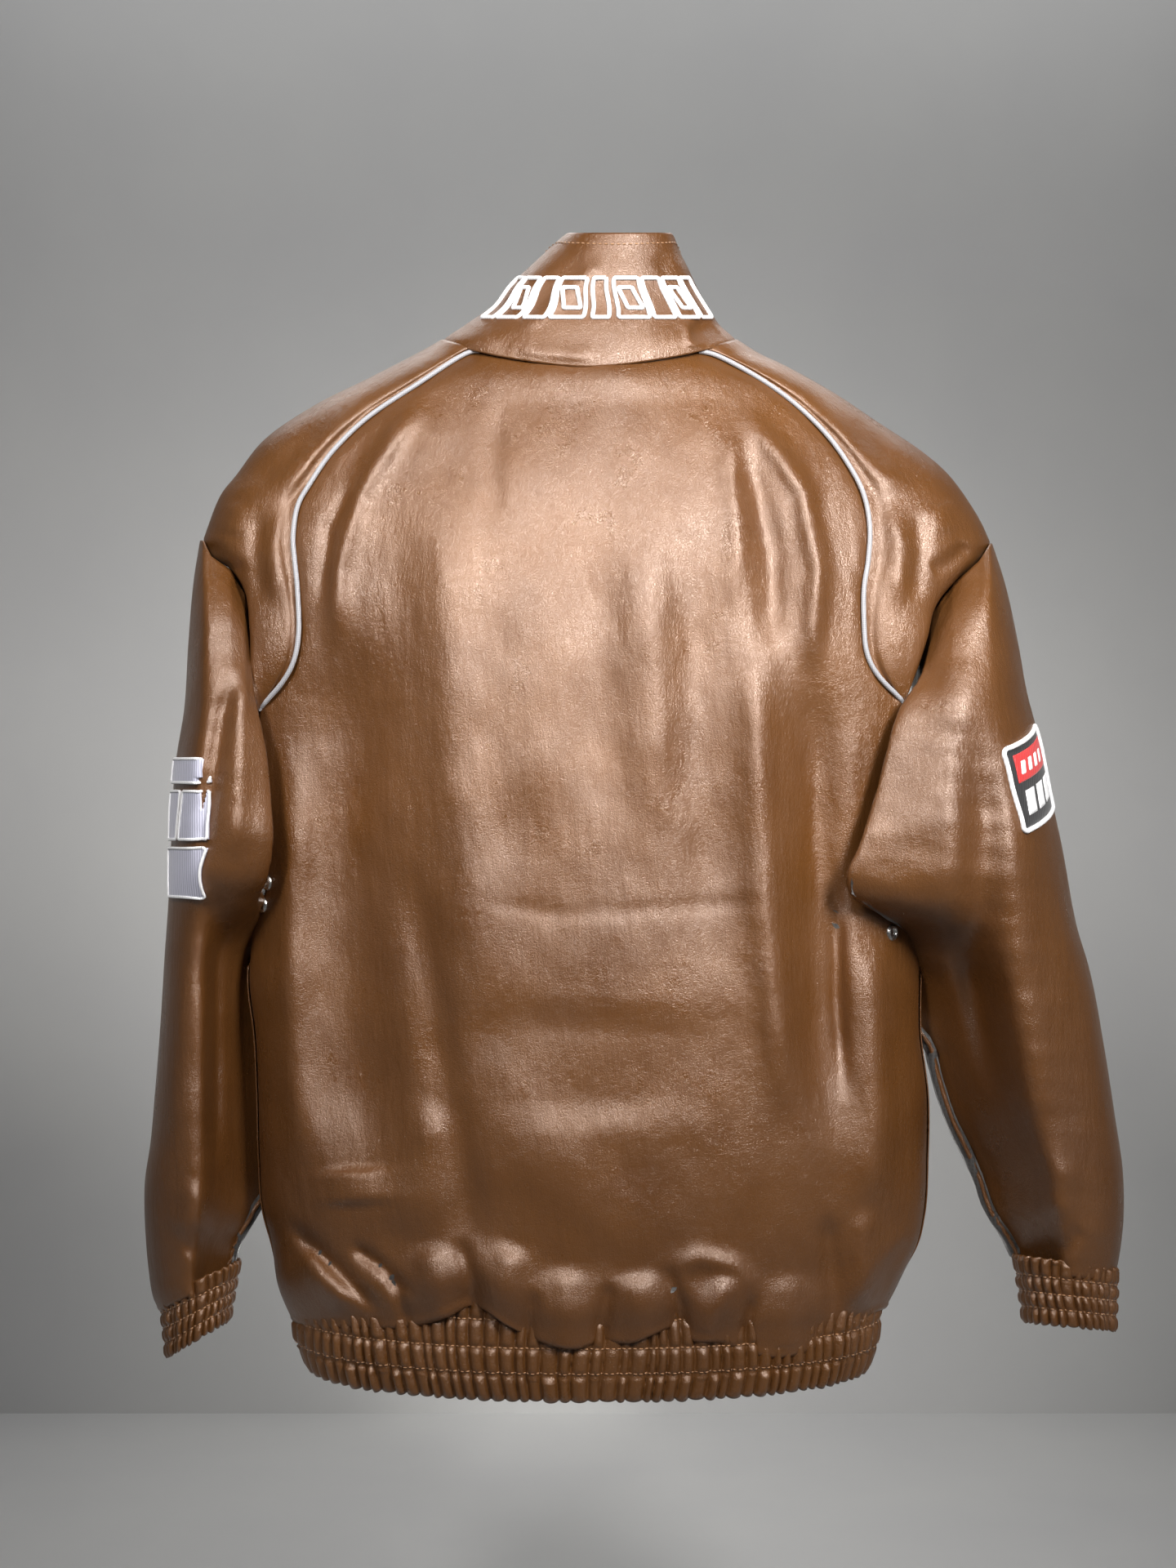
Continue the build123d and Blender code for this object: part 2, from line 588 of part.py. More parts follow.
POCKET_ZIP_DEPTH = -3.3
POCKET_ZIP_SIZE = 0.72
POCKET_PITCH = 3.4
POCKET_HALF = POCKET_LENGTH / 2
for name, sign in SIDES.items():
    chain = pocket_plane(sign, POCKET_ZIP_DEPTH)
    with BuildPart() as pocket_welt:
        with BuildSketch(pocket_plane(sign, WELT_LIFT)):
            RectangleRounded(WELT_WIDTH, WELT_LENGTH, 4)
            SlotOverall(POCKET_LENGTH, POCKET_SLOT, rotation=90, mode=Mode.SUBTRACT)
        extrude(amount=LEATHER)
    finish(pocket_welt, f"pocket_welt_{name}")

    with BuildPart() as pocket_tape:
        for side in (1, -1):
            add(zip_tape(chain, side, CHAIN_GAP + POCKET_TOOTH_WIDTH + TAPE_CLEAR, POCKET_TAPE_OUTER,
                         -POCKET_HALF, POCKET_HALF).part)
    finish(pocket_tape, f"pocket_zip_tape_{name}")

    with BuildPart() as pocket_teeth:
        for side in (1, -1):
            add(zip_teeth(chain, side, POCKET_TOOTH_WIDTH, -POCKET_HALF + 6, POCKET_HALF - 6,
                          POCKET_PITCH, 1.1).part)
    finish(pocket_teeth, f"pocket_zip_teeth_{name}")

    rest = Plane(origin=chain.from_local_coords(Vector(0, POCKET_HALF - 12, 0)),
                 x_dir=chain.x_dir, z_dir=chain.z_dir)
    finish(zip_slider(rest, POCKET_ZIP_SIZE), f"pocket_slider_{name}")
    finish(zip_pull(rest, POCKET_ZIP_SIZE, 30), f"pocket_pull_{name}")
    pin = rest.from_local_coords(Vector(0, 0, pull_reach(POCKET_ZIP_SIZE)))
    print(name, "pocket pull pin", tuple(round(v, 3) for v in pin), "axis",
          tuple(round(v, 4) for v in rest.x_dir))
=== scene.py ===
"""Looks of the hanging leather riding jacket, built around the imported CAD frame.

Shapes are worked out in millimetres in the row frame: +Z up, the wearer faces -Y, and the
wearer's left is +X. The camera stands behind the jacket. Most outlines are given as seen
from there, on the hanger's plane, and `placed` moves a point along its sight line to its
own depth.
"""
import json
import math

import bpy
import numpy as np
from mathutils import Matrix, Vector


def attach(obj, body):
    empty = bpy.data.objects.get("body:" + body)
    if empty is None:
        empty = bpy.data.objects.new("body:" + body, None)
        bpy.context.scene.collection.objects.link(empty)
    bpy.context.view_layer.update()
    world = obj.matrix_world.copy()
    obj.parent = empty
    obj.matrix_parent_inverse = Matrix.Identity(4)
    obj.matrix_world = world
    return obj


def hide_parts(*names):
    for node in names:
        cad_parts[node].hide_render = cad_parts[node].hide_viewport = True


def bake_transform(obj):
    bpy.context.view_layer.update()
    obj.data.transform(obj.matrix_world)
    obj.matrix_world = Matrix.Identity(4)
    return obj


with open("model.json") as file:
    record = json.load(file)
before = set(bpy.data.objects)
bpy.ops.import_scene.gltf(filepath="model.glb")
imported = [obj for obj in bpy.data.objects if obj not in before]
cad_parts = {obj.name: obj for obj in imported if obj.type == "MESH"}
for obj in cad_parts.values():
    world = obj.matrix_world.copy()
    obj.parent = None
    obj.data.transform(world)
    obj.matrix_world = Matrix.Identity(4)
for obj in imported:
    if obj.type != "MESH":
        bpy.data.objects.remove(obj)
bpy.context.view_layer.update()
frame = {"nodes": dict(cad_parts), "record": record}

MM = 0.001
EYE_Y, EYE_Z = 1500.0, -287.0        # where the camera stands, in millimetres
VIEW_HEIGHT = 1075.0                 # what the picture's height covers at the hanger's plane
SIDES = {"left": 1, "right": -1}
BODY_INSIDE = (0, 0, -300)


# ---- small maths ----------------------------------------------------------------------------
def smooth(t):
    t = np.clip(t, 0, 1)
    return t * t * (3 - 2 * t)


def table(x, rows, column=1):
    """A smooth curve through rows of numbers, read at x, by Catmull-Rom on the first column."""
    rows = sorted(rows)
    xs = np.array([r[0] for r in rows], float)
    ys = np.array([r[column] for r in rows], float)
    x = np.clip(np.asarray(x, float), xs[0], xs[-1])
    slope = np.gradient(ys, xs)
    i = np.clip(np.searchsorted(xs, x) - 1, 0, len(xs) - 2)
    h = xs[i + 1] - xs[i]
    t = (x - xs[i]) / h
    a, b = (2 * t**3 - 3 * t**2 + 1), (t**3 - 2 * t**2 + t)
    return a * ys[i] + b * h * slope[i] + (1 - a) * ys[i + 1] + (t**3 - t**2) * h * slope[i + 1]


def along(points, count, closed=False):
    """count points evenly along a smooth curve through the given ones."""
    p = np.array(points, float)
    if closed:
        ring = np.vstack([p[-1:], p, p[:2]])
    else:
        ring = np.vstack([2 * p[:1] - p[1:2], p, 2 * p[-1:] - p[-2:-1]])
    fine = []
    for a, b, c, d in zip(ring[:-3], ring[1:-2], ring[2:-1], ring[3:]):
        t = np.linspace(0, 1, 24, endpoint=False)[:, None]
        square, cube = 2 * a - 5 * b + 4 * c - d, 3 * b - a - 3 * c + d
        fine.append(0.5 * (2 * b + (c - a) * t + square * t**2 + cube * t**3))
    fine = np.vstack(fine + [p[:1] if closed else p[-1:]])
    length = np.concatenate([[0], np.cumsum(np.linalg.norm(np.diff(fine, axis=0), axis=1))])
    at = np.linspace(0, length[-1], count + 1)[:-1] if closed else np.linspace(0, length[-1], count)
    return np.stack([np.interp(at, length, fine[:, k]) for k in range(fine.shape[1])], axis=1)


def stroke(x, z, path, width, height, taper=0.15):
    """A fold along a path of x, z points: a ridge, or a valley if height is below 0.
    It fades over taper of its length at each end."""
    path = np.array(path, float)
    steps = np.linalg.norm(np.diff(path, axis=0), axis=1)
    done = np.concatenate([[0], np.cumsum(steps)]) / steps.sum()
    best = np.full(np.shape(x), np.inf)
    where = np.zeros(np.shape(x))
    for k, (a, b) in enumerate(zip(path[:-1], path[1:])):
        d = b - a
        t = np.clip(((x - a[0]) * d[0] + (z - a[1]) * d[1]) / (d @ d), 0, 1)
        gap = np.hypot(x - a[0] - t * d[0], z - a[1] - t * d[1])
        near = gap < best
        best = np.where(near, gap, best)
        where = np.where(near, done[k] + t * (done[k + 1] - done[k]), where)
    fade = smooth(where / taper) * smooth((1 - where) / taper) if taper else 1.0
    return height * np.exp(-((best / width) ** 2)) * fade


def folds(x, z, rows):
    """The sum of several strokes, each a path, width, height and taper."""
    h = 0 * x
    for path, width, height, taper in rows:
        h += stroke(x, z, path, width, height, taper)
    return h


def noise(x, z, size, seed=0):
    """Soft irregular waves of about that size, from -1 to 1."""
    r = np.random.default_rng(seed)
    total = 0
    for _ in range(7):
        angle, phase = r.uniform(0, 2 * np.pi, 2)
        f = 2 * np.pi / (size * r.uniform(0.7, 1.6))
        total = total + np.sin(f * (x * math.cos(angle) + z * math.sin(angle)) + phase)
    return total / 4.0


def placed(x, y, z):
    """Points given as seen, moved along their sight lines to depth y if they face the camera."""
    k = 1 - np.maximum(y, 0) / EYE_Y
    return np.stack([x * k, y + 0 * x, EYE_Z + (z - EYE_Z) * k], axis=-1)


# ---- mesh making --------------------------------------------------------------------------------
def add_mesh(name, points, faces, material):
    mesh = bpy.data.meshes.new(name)
    mesh.from_pydata((np.asarray(points).reshape(-1, 3) * MM).tolist(), [], faces)
    mesh.validate()
    mesh.materials.append(material)
    mesh.polygons.foreach_set("use_smooth", [True] * len(mesh.polygons))
    obj = bpy.data.objects.new(name, mesh)
    bpy.context.scene.collection.objects.link(obj)
    return obj


def grid_faces(rows, columns, closed=False, start=0, flip=False):
    """Quads of a grid of points; closed joins the last column to the first."""
    faces = []
    for r in range(rows - 1):
        for c in range(columns if closed else columns - 1):
            d = (c + 1) % columns
            a = [start + r * columns + c, start + (r + 1) * columns + c,
                 start + (r + 1) * columns + d, start + r * columns + d]
            faces.append(a[::-1] if flip else a)
    return faces


def normals(grid, closed=False, inside=None):
    """Unit normals of a grid of points, rows by columns, away from inside if it is given."""
    if closed:
        across = np.roll(grid, -1, 1) - np.roll(grid, 1, 1)
    else:
        across = np.gradient(grid, axis=1)
    n = np.cross(across, np.gradient(grid, axis=0))
    n = n / np.maximum(np.linalg.norm(n, axis=2, keepdims=True), 1e-9)
    if inside is not None and ((grid - np.array(inside, float)) * n).sum() < 0:
        n = -n
    return n


def sheet_mesh(name, grid, material, thick=1.2, closed=False, inward=None):
    """A sheet with a real thickness, behind the given face. inward is a point inside."""
    n = normals(grid, closed, grid.mean((0, 1)) if inward is None else inward)
    back = grid - n * thick
    rows, columns = grid.shape[:2]
    count = rows * columns
    corner = grid[:-1, :-1]
    outward = (np.cross(grid[1:, :-1] - corner, grid[1:, 1:] - corner) * n[:-1, :-1]).sum() > 0
    faces = grid_faces(rows, columns, closed, 0, not outward)
    faces += grid_faces(rows, columns, closed, count, outward)
    edge = [(r, c) for r in (0, rows - 1) for c in range(columns if closed else columns - 1)]
    for r, c in edge:
        d = (c + 1) % columns
        a = [r * columns + c, r * columns + d, count + r * columns + d, count + r * columns + c]
        faces.append(a if (r == 0) == outward else a[::-1])
    if not closed:
        for c in (0, columns - 1):
            for r in range(rows - 1):
                near, far = r * columns + c, (r + 1) * columns + c
                a = [near, far, count + far, count + near]
                faces.append(a if (c == columns - 1) == outward else a[::-1])
    return add_mesh(name, np.concatenate([grid.reshape(-1, 3), back.reshape(-1, 3)]), faces, material)


def roll_under(grid, rows, centre, radius):
    """Fills the grid's last rows with an edge that rolls under and back up inside."""
    last = grid[rows - 1]
    out = last - centre
    out[:, 2] = 0
    out /= np.linalg.norm(out, axis=1, keepdims=True)
    for k in range(1, len(grid) - rows + 1):
        a = k / (len(grid) - rows) * math.radians(165)
        grid[rows - 1 + k] = last - radius * (out * (1 - math.cos(a)) + np.array([0, 0, 1]) * math.sin(a))


def tube_mesh(name, path, radius, material, sides=8, flat=1.0):
    """A closed tube along a path, flattened along its own second direction if flat is under 1."""
    p = np.array(path, float)
    t = np.gradient(p, axis=0)
    t /= np.linalg.norm(t, axis=1, keepdims=True)
    side = np.cross(t, [0, 1, 0.01])
    side /= np.linalg.norm(side, axis=1, keepdims=True)
    up = np.cross(side, t)
    angle = np.linspace(0, 2 * np.pi, sides, endpoint=False)
    ring = (p[:, None] + radius * (np.cos(angle)[None, :, None] * side[:, None]
                                   + flat * np.sin(angle)[None, :, None] * up[:, None]))
    faces = grid_faces(len(p), sides, True)
    faces += [list(range(sides))[::-1], list(range((len(p) - 1) * sides, len(p) * sides))]
    return add_mesh(name, ring, faces, material)


def join(name, pieces):
    """Several meshes as one object."""
    mesh = bpy.data.meshes.new(name)
    points, faces, slots, materials = [], [], [], []
    for piece in pieces:
        base = len(points)
        points += [tuple(v.co) for v in piece.data.vertices]
        for m in piece.data.materials:
            if m not in materials:
                materials.append(m)
        for f in piece.data.polygons:
            faces.append([base + i for i in f.vertices])
            slots.append(materials.index(piece.data.materials[f.material_index]))
        bpy.data.objects.remove(piece)
    mesh.from_pydata(points, [], faces)
    for m in materials:
        mesh.materials.append(m)
    mesh.polygons.foreach_set("material_index", slots)
    mesh.polygons.foreach_set("use_smooth", [True] * len(faces))
    obj = bpy.data.objects.new(name, mesh)
    bpy.context.scene.collection.objects.link(obj)
    return obj


def stitches(name, path, outward, material, length=2.6, gap=1.3, radius=0.42):
    """A row of thread stitches along a path, each a small spindle lying on the leather."""
    p = np.array(path, float)
    steps = np.concatenate([[0], np.cumsum(np.linalg.norm(np.diff(p, axis=0), axis=1))])
    n = np.broadcast_to(np.asarray(outward, float), p.shape)
    count = max(1, int(steps[-1] / (length + gap)))
    points, faces = [], []
    for i in range(count):
        at = (i + 0.5) * steps[-1] / count + np.linspace(-length / 2, length / 2, 4)
        line = np.stack([np.interp(at, steps, p[:, k]) for k in range(3)], 1)
        up = np.stack([np.interp(at, steps, n[:, k]) for k in range(3)], 1)
        t = line[-1] - line[0]
        side = np.cross(t, up[0])
        side /= max(np.linalg.norm(side), 1e-9)
        for k, size in enumerate((0.35, 1.0, 1.0, 0.35)):
            for a in (0, 1, 2, 3, 4):
                s = a * 2 * np.pi / 5
                spoke = math.cos(s) * side + (math.sin(s) * 0.7 + 0.2) * up[k]
                points.append(line[k] + radius * size * spoke)
        base = i * 20
        faces += grid_faces(4, 5, True, base)
        faces += [[base + a for a in (4, 3, 2, 1, 0)], [base + 15 + a for a in range(5)]]
    return add_mesh(name, points, faces, material)


# ---- materials --------------------------------------------------------------------------------
def new_material(name):
    m = bpy.data.materials.new(name)
    m.use_nodes = True
    return m, m.node_tree.nodes, m.node_tree.links, m.node_tree.nodes["Principled BSDF"]


def ramp(nodes, links, source, stops, target):
    """Colours by a factor: from the source socket through a colour ramp to the target socket."""
    r = nodes.new("ShaderNodeValToRGB")
    while len(r.color_ramp.elements) < len(stops):
        r.color_ramp.elements.new(0.5)
    for e, (at, colour) in zip(r.color_ramp.elements, stops):
        e.position = at
        e.color = (*colour, 1)
    links.new(source, r.inputs["Fac"])
    if target:
        links.new(r.outputs["Color"], target)
    return r.outputs["Color"]


def bump(nodes, links, height, strength, distance, under=None):
    """A bump from a height socket, over another bump's normal if one is given."""
    b = nodes.new("ShaderNodeBump")
    b.inputs["Strength"].default_value = strength
    b.inputs["Distance"].default_value = distance
    links.new(height, b.inputs["Height"])
    if under:
        links.new(under, b.inputs["Normal"])
    return b.outputs["Normal"]


def wave_node(nodes, links, scale, distortion, turn):
    """Fine parallel lines."""
    where = nodes.new("ShaderNodeTexCoord")
    mapping = nodes.new("ShaderNodeMapping")
    mapping.inputs["Rotation"].default_value = turn
    wave = nodes.new("ShaderNodeTexWave")
    wave.inputs["Scale"].default_value = scale
    wave.inputs["Distortion"].default_value = distortion
    links.new(where.outputs["Object"], mapping.inputs["Vector"])
    links.new(mapping.outputs["Vector"], wave.inputs["Vector"])
    return wave


def noise_node(nodes, links, scale, detail=4.0, roughness=0.55, stretch=(1, 1, 1)):
    where = nodes.new("ShaderNodeTexCoord")
    mapping = nodes.new("ShaderNodeMapping")
    mapping.inputs["Scale"].default_value = stretch
    n = nodes.new("ShaderNodeTexNoise")
    n.inputs["Scale"].default_value = scale
    n.inputs["Detail"].default_value = detail
    n.inputs["Roughness"].default_value = roughness
    links.new(where.outputs["Object"], mapping.inputs["Vector"])
    links.new(mapping.outputs["Vector"], n.inputs["Vector"])
    return n


def leather_material(name, dark, light, rough):
    """Coated leather: fine pebbled grain, faint vertical creases, uneven gloss and colour."""
    m, nodes, links, shader = new_material(name)
    tone = noise_node(nodes, links, 9.0, 5.0, 0.6)
    ramp(nodes, links, tone.outputs["Fac"], [(0.32, dark), (0.70, light)], shader.inputs["Base Color"])

    cells = nodes.new("ShaderNodeTexVoronoi")
    cells.feature = "DISTANCE_TO_EDGE"
    cells.inputs["Scale"].default_value = 620
    warp = noise_node(nodes, links, 150, 2.0)
    where = nodes.new("ShaderNodeTexCoord")
    mix = nodes.new("ShaderNodeMix")
    mix.data_type = "VECTOR"
    mix.inputs["Factor"].default_value = 0.006
    links.new(where.outputs["Object"], mix.inputs["A"])
    links.new(warp.outputs["Color"], mix.inputs["B"])
    links.new(mix.outputs["Result"], cells.inputs["Vector"])
    pebble = ramp(nodes, links, cells.outputs["Distance"], [(0.0, (0, 0, 0)), (0.16, (1, 1, 1))], None)

    crease = noise_node(nodes, links, 95, 8.0, 0.68, (1.5, 1.5, 0.45))
    swell = noise_node(nodes, links, 34, 3.0, 0.5)
    small = bump(nodes, links, pebble, 0.35, 0.00025)
    lines = bump(nodes, links, crease.outputs["Fac"], 0.40, 0.0022, small)
    waves = bump(nodes, links, swell.outputs["Fac"], 0.14, 0.0016, lines)
    links.new(waves, shader.inputs["Normal"])

    gloss = noise_node(nodes, links, 26, 4.0, 0.6)
    ramp(nodes, links, gloss.outputs["Fac"], [(0.3, (rough - 0.05,) * 3), (0.72, (rough + 0.09,) * 3)],
         shader.inputs["Roughness"])
    shader.inputs["Specular IOR Level"].default_value = 1.0
    shader.inputs["Specular Tint"].default_value = (1.0, 0.97, 0.93, 1)
    shader.inputs["Metallic"].default_value = 0.20
    return m


def cloth_material(name, dark, light, scale=900, rough=0.8, sheen=0.3, height=0.4):
    """Woven cloth: crossed fine threads with a little colour variation."""
    m, nodes, links, shader = new_material(name)
    mix = nodes.new("ShaderNodeMath")
    mix.operation = "MAXIMUM"
    for i, turn in enumerate((0.0, math.pi / 2)):
        wave = wave_node(nodes, links, scale / 6, 0.6, (0.3, turn, 0.2))
        links.new(wave.outputs["Fac"], mix.inputs[i])
    ramp(nodes, links, mix.outputs[0], [(0.2, dark), (0.95, light)], shader.inputs["Base Color"])
    links.new(bump(nodes, links, mix.outputs[0], height, 0.0003), shader.inputs["Normal"])
    shader.inputs["Roughness"].default_value = rough
    shader.inputs["Sheen Weight"].default_value = sheen
    return m


def thread_material(name, dark, light, scale=700, rough=0.42):
    """Satin stitch: close parallel threads with a silky shine."""
    m, nodes, links, shader = new_material(name)
    wave = wave_node(nodes, links, scale / 6, 1.2, (0, 0, 0))
    wave.inputs["Detail"].default_value = 2.0
    ramp(nodes, links, wave.outputs["Fac"], [(0.1, dark), (0.7, light)], shader.inputs["Base Color"])
    links.new(bump(nodes, links, wave.outputs["Fac"], 0.5, 0.0003), shader.inputs["Normal"])
    shader.inputs["Roughness"].default_value = rough
    shader.inputs["Sheen Weight"].default_value = 0.2
    return m


def metal_material(name, colour, rough):
    """Plated metal, a little worn."""
    m, nodes, links, shader = new_material(name)
    wear = noise_node(nodes, links, 300, 4.0).outputs["Fac"]
    ramp(nodes, links, wear, [(0.3, (rough - 0.06,) * 3), (0.7, (rough + 0.1,) * 3)],
         shader.inputs["Roughness"])
    ramp(nodes, links, wear, [(0.3, tuple(c * 0.82 for c in colour)), (0.6, colour)],
         shader.inputs["Base Color"])
    shader.inputs["Metallic"].default_value = 1.0
    return m


def plastic_material(name, colour, rough):
    """Moulded plastic with a little unevenness."""
    m, nodes, links, shader = new_material(name)
    wear = noise_node(nodes, links, 500, 3.0).outputs["Fac"]
    ramp(nodes, links, wear, [(0.3, tuple(c * 0.8 for c in colour)), (0.7, colour)],
         shader.inputs["Base Color"])
    shader.inputs["Roughness"].default_value = rough
    return m


LEATHER = leather_material("leather", (0.100, 0.037, 0.0085), (0.135, 0.052, 0.012), 0.30)
LEATHER_BAND = leather_material("leather_band", (0.095, 0.036, 0.008), (0.140, 0.055, 0.013), 0.30)
LINING = cloth_material("lining", (0.012, 0.010, 0.009), (0.030, 0.027, 0.025), 700, 0.5, 0.5, 0.2)
PIPING = cloth_material("piping", (0.20, 0.20, 0.215), (0.34, 0.34, 0.36), 1500, 0.5, 0.4)
ELASTIC = cloth_material("elastic", (0.020, 0.016, 0.013), (0.06, 0.05, 0.045), 500)
TAPE = cloth_material("tape", (0.012, 0.008, 0.006), (0.045, 0.030, 0.022), 1200)
STITCH = thread_material("stitch", (0.26, 0.12, 0.05), (0.46, 0.25, 0.12), 2500, 0.5)
WHITE_THREAD = thread_material("white_thread", (0.72, 0.72, 0.74), (0.92, 0.92, 0.93), 1500)
SILVER_THREAD = thread_material("silver_thread", (0.33, 0.33, 0.42), (0.55, 0.55, 0.66), 1100, 0.34)
RED_THREAD = thread_material("red_thread", (0.42, 0.010, 0.012), (0.70, 0.03, 0.03), 1400)
BLACK_THREAD = thread_material("black_thread", (0.006, 0.006, 0.007), (0.02, 0.02, 0.022), 1400)
NICKEL = metal_material("nickel", (0.62, 0.61, 0.59), 0.26)
TEETH = plastic_material("teeth", (0.035, 0.022, 0.015), 0.3)
LABEL = cloth_material("label", (0.012, 0.012, 0.012), (0.03, 0.03, 0.03), 1400, 0.6)

CAD_MATERIALS = {"lining": LINING, "piping": PIPING, "elastic": ELASTIC, "tape": TAPE, "teeth": TEETH,
                 "metal": NICKEL, "embroidery": WHITE_THREAD, "patch": SILVER_THREAD, "label": LABEL,
                 "leather": LEATHER, "collar_facing": LEATHER, "pull_leather": LEATHER_BAND}
for part in frame["record"]["subparts"]:
    node = frame["nodes"][part["node"]]
    node.data.materials.clear()
    node.data.materials.append(CAD_MATERIALS[part["material_slot"]])

# ---- the body ---------------------------------------------------------------------------------
# Height, half width, depth behind and in front of the hanger's plane, as the CAD body has them.
BODY = [(27, 100, 18, 26), (0, 134, 54, 58), (-27, 185, 66, 68), (-50, 218, 76, 77), (-91, 256, 90, 87),
        (-124, 270, 97, 90), (-180, 268, 104, 90), (-260, 252, 108, 90), (-340, 238, 110, 90),
        (-400, 232, 112, 90), (-480, 229, 112, 90), (-541, 227, 110, 90), (-600, 221, 102, 90),
        (-660, 203, 90, 90)]
# Outline as seen from behind: height, left edge, right edge.
OUTLINE = [(27, 92, 90), (16, 104, 106), (-9, 151, 150), (-27, 187, 180), (-50, 221, 214), (-75, 241, 246),
           (-91, 253, 259), (-124, 266, 277), (-180, 266, 275), (-260, 250, 255), (-340, 236, 236),
           (-393, 231, 228), (-423, 232, 227), (-457, 228, 227), (-498, 226, 232), (-541, 225, 232),
           (-581, 222, 230), (-600, 217, 226), (-628, 211, 211), (-660, 200, 196)]


def body_point(phi, z):
    """A point of the body's plain form. phi is 0 at the middle of the back, 90 degrees at the
    wearer's left side, -90 at the right side, and 180 at the middle of the front."""
    sign = np.where(phi >= 0, 1, -1)
    seen = np.where(phi >= 0, table(z, OUTLINE, 1), table(z, OUTLINE, 2))
    plain = table(z, BODY, 1)
    to_front = smooth((np.abs(phi) - math.radians(95)) / math.radians(30))
    half_width = seen + (plain - seen) * to_front
    back, front = table(z, BODY, 2), table(z, BODY, 3)
    x = sign * half_width * np.abs(np.sin(phi))
    y = (back - front) / 2 + (back + front) / 2 * np.cos(phi)
    return x, y


def phi_at(x, z):
    """phi of the back's point that is seen at x, z."""
    half_width = np.where(x >= 0, table(z, OUTLINE, 1), table(z, OUTLINE, 2))
    return np.arcsin(np.clip(x / half_width, -1, 1))


PIPING_SEEN = {
    "left": [(70, 10), (85, 7), (115, -12), (151, -36), (175, -59), (191, -82), (199, -97), (202, -117),
             (201, -133), (199, -153), (198, -181), (201, -201), (209, -217), (225, -236)],
    "right": [(-72, 10), (-89, 6), (-117, -9), (-141, -26), (-163, -47), (-179, -69), (-189, -89),
              (-193, -111), (-192, -133), (-189, -153), (-189, -177), (-191, -197), (-199, -213),
              (-216, -231)],
}
ARMHOLE_SEEN = {   # from the piping's end down the armhole to the side seam
    "left": [(225, -236), (221, -290), (219, -346), (226, -376), (231, -398)],
    "right": [(-216, -231), (-212, -290), (-210, -346), (-220, -376), (-228, -398)],
}
BLOUSE_Z = [(-205, -640), (-195, -645), (-176, -662), (-143, -675), (-111, -671), (-98, -666), (-76, -664),
            (-60, -656), (-46, -661), (-32, -666), (-10, -665), (8, -670), (35, -665), (57, -654), (79, -640),
            (100, -648), (123, -654), (165, -655), (202, -652), (210, -648)]


BACK_FOLDS = [   # path, width, height and taper
    # long hollow on the left that falls away from the middle's ridge, and the side's roll
    ([(160, -150), (166, -230), (166, -330), (160, -430), (150, -530), (140, -600)], 34, -15.0, 0.25),
    ([(126, -330), (112, -400), (100, -483), (84, -570), (78, -630)], 13, -5.0, 0.2),
    ([(198, -250), (204, -380), (204, -480), (192, -570)], 14, 8.0, 0.25),
    # bright middle of the back
    ([(98, -60), (96, -150), (92, -260), (78, -370), (62, -470)], 22, 6.5, 0.25),
    ([(34, -110), (38, -240), (34, -340)], 26, 3.0, 0.3),
    ([(-6, -90), (-10, -210), (-16, -330)], 17, -3.0, 0.3),
    # right side: ridge, valley, gap and outer ridge
    ([(-112, -170), (-119, -300), (-121, -360), (-129, -437), (-140, -530)], 14, 8.0, 0.22),
    ([(-154, -190), (-157, -330), (-160, -450), (-168, -545)], 15, -10.0, 0.25),
    ([(-170, -340), (-171, -430), (-176, -510)], 6, -6.0, 0.3),
    ([(-196, -380), (-200, -513), (-192, -600)], 14, 8.0, 0.25),
    ([(-68, -90), (-74, -220), (-82, -340), (-86, -440)], 20, -4.5, 0.3),
    ([(-38, -100), (-44, -240), (-44, -330)], 18, 3.5, 0.3),
    # folds that start below the piping
    ([(-104, -28), (-128, -56), (-148, -86), (-158, -140), (-152, -215)], 8, 6.0, 0.2),
    ([(-100, -52), (-116, -88), (-126, -130), (-126, -200)], 11, -6.0, 0.25),
    ([(-84, -30), (-98, -60), (-104, -110), (-100, -170)], 9, 3.5, 0.3),
    ([(110, -18), (132, -48), (158, -88), (172, -140), (172, -200)], 8, 5.5, 0.2),
    ([(152, -66), (176, -112), (184, -170)], 6, -3.5, 0.3),
    ([(60, -18), (66, -60), (66, -120)], 9, -2.2, 0.3),
    # faint crease across the waist, the hollow below it and the belly above the hem
    ([(90, -365), (20, -376), (-60, -372), (-134, -366)], 6, -0.6, 0.2),
    ([(-8, -430), (-6, -480), (-8, -530)], 60, -3.5, 0.3),
    ([(62, -450), (36, -540), (-30, -596), (-80, -590)], 26, 2.5, 0.3),
    ([(104, -500), (120, -560), (128, -600)], 16, 4.0, 0.3),
]
FOLD_DEPTH = 1.3
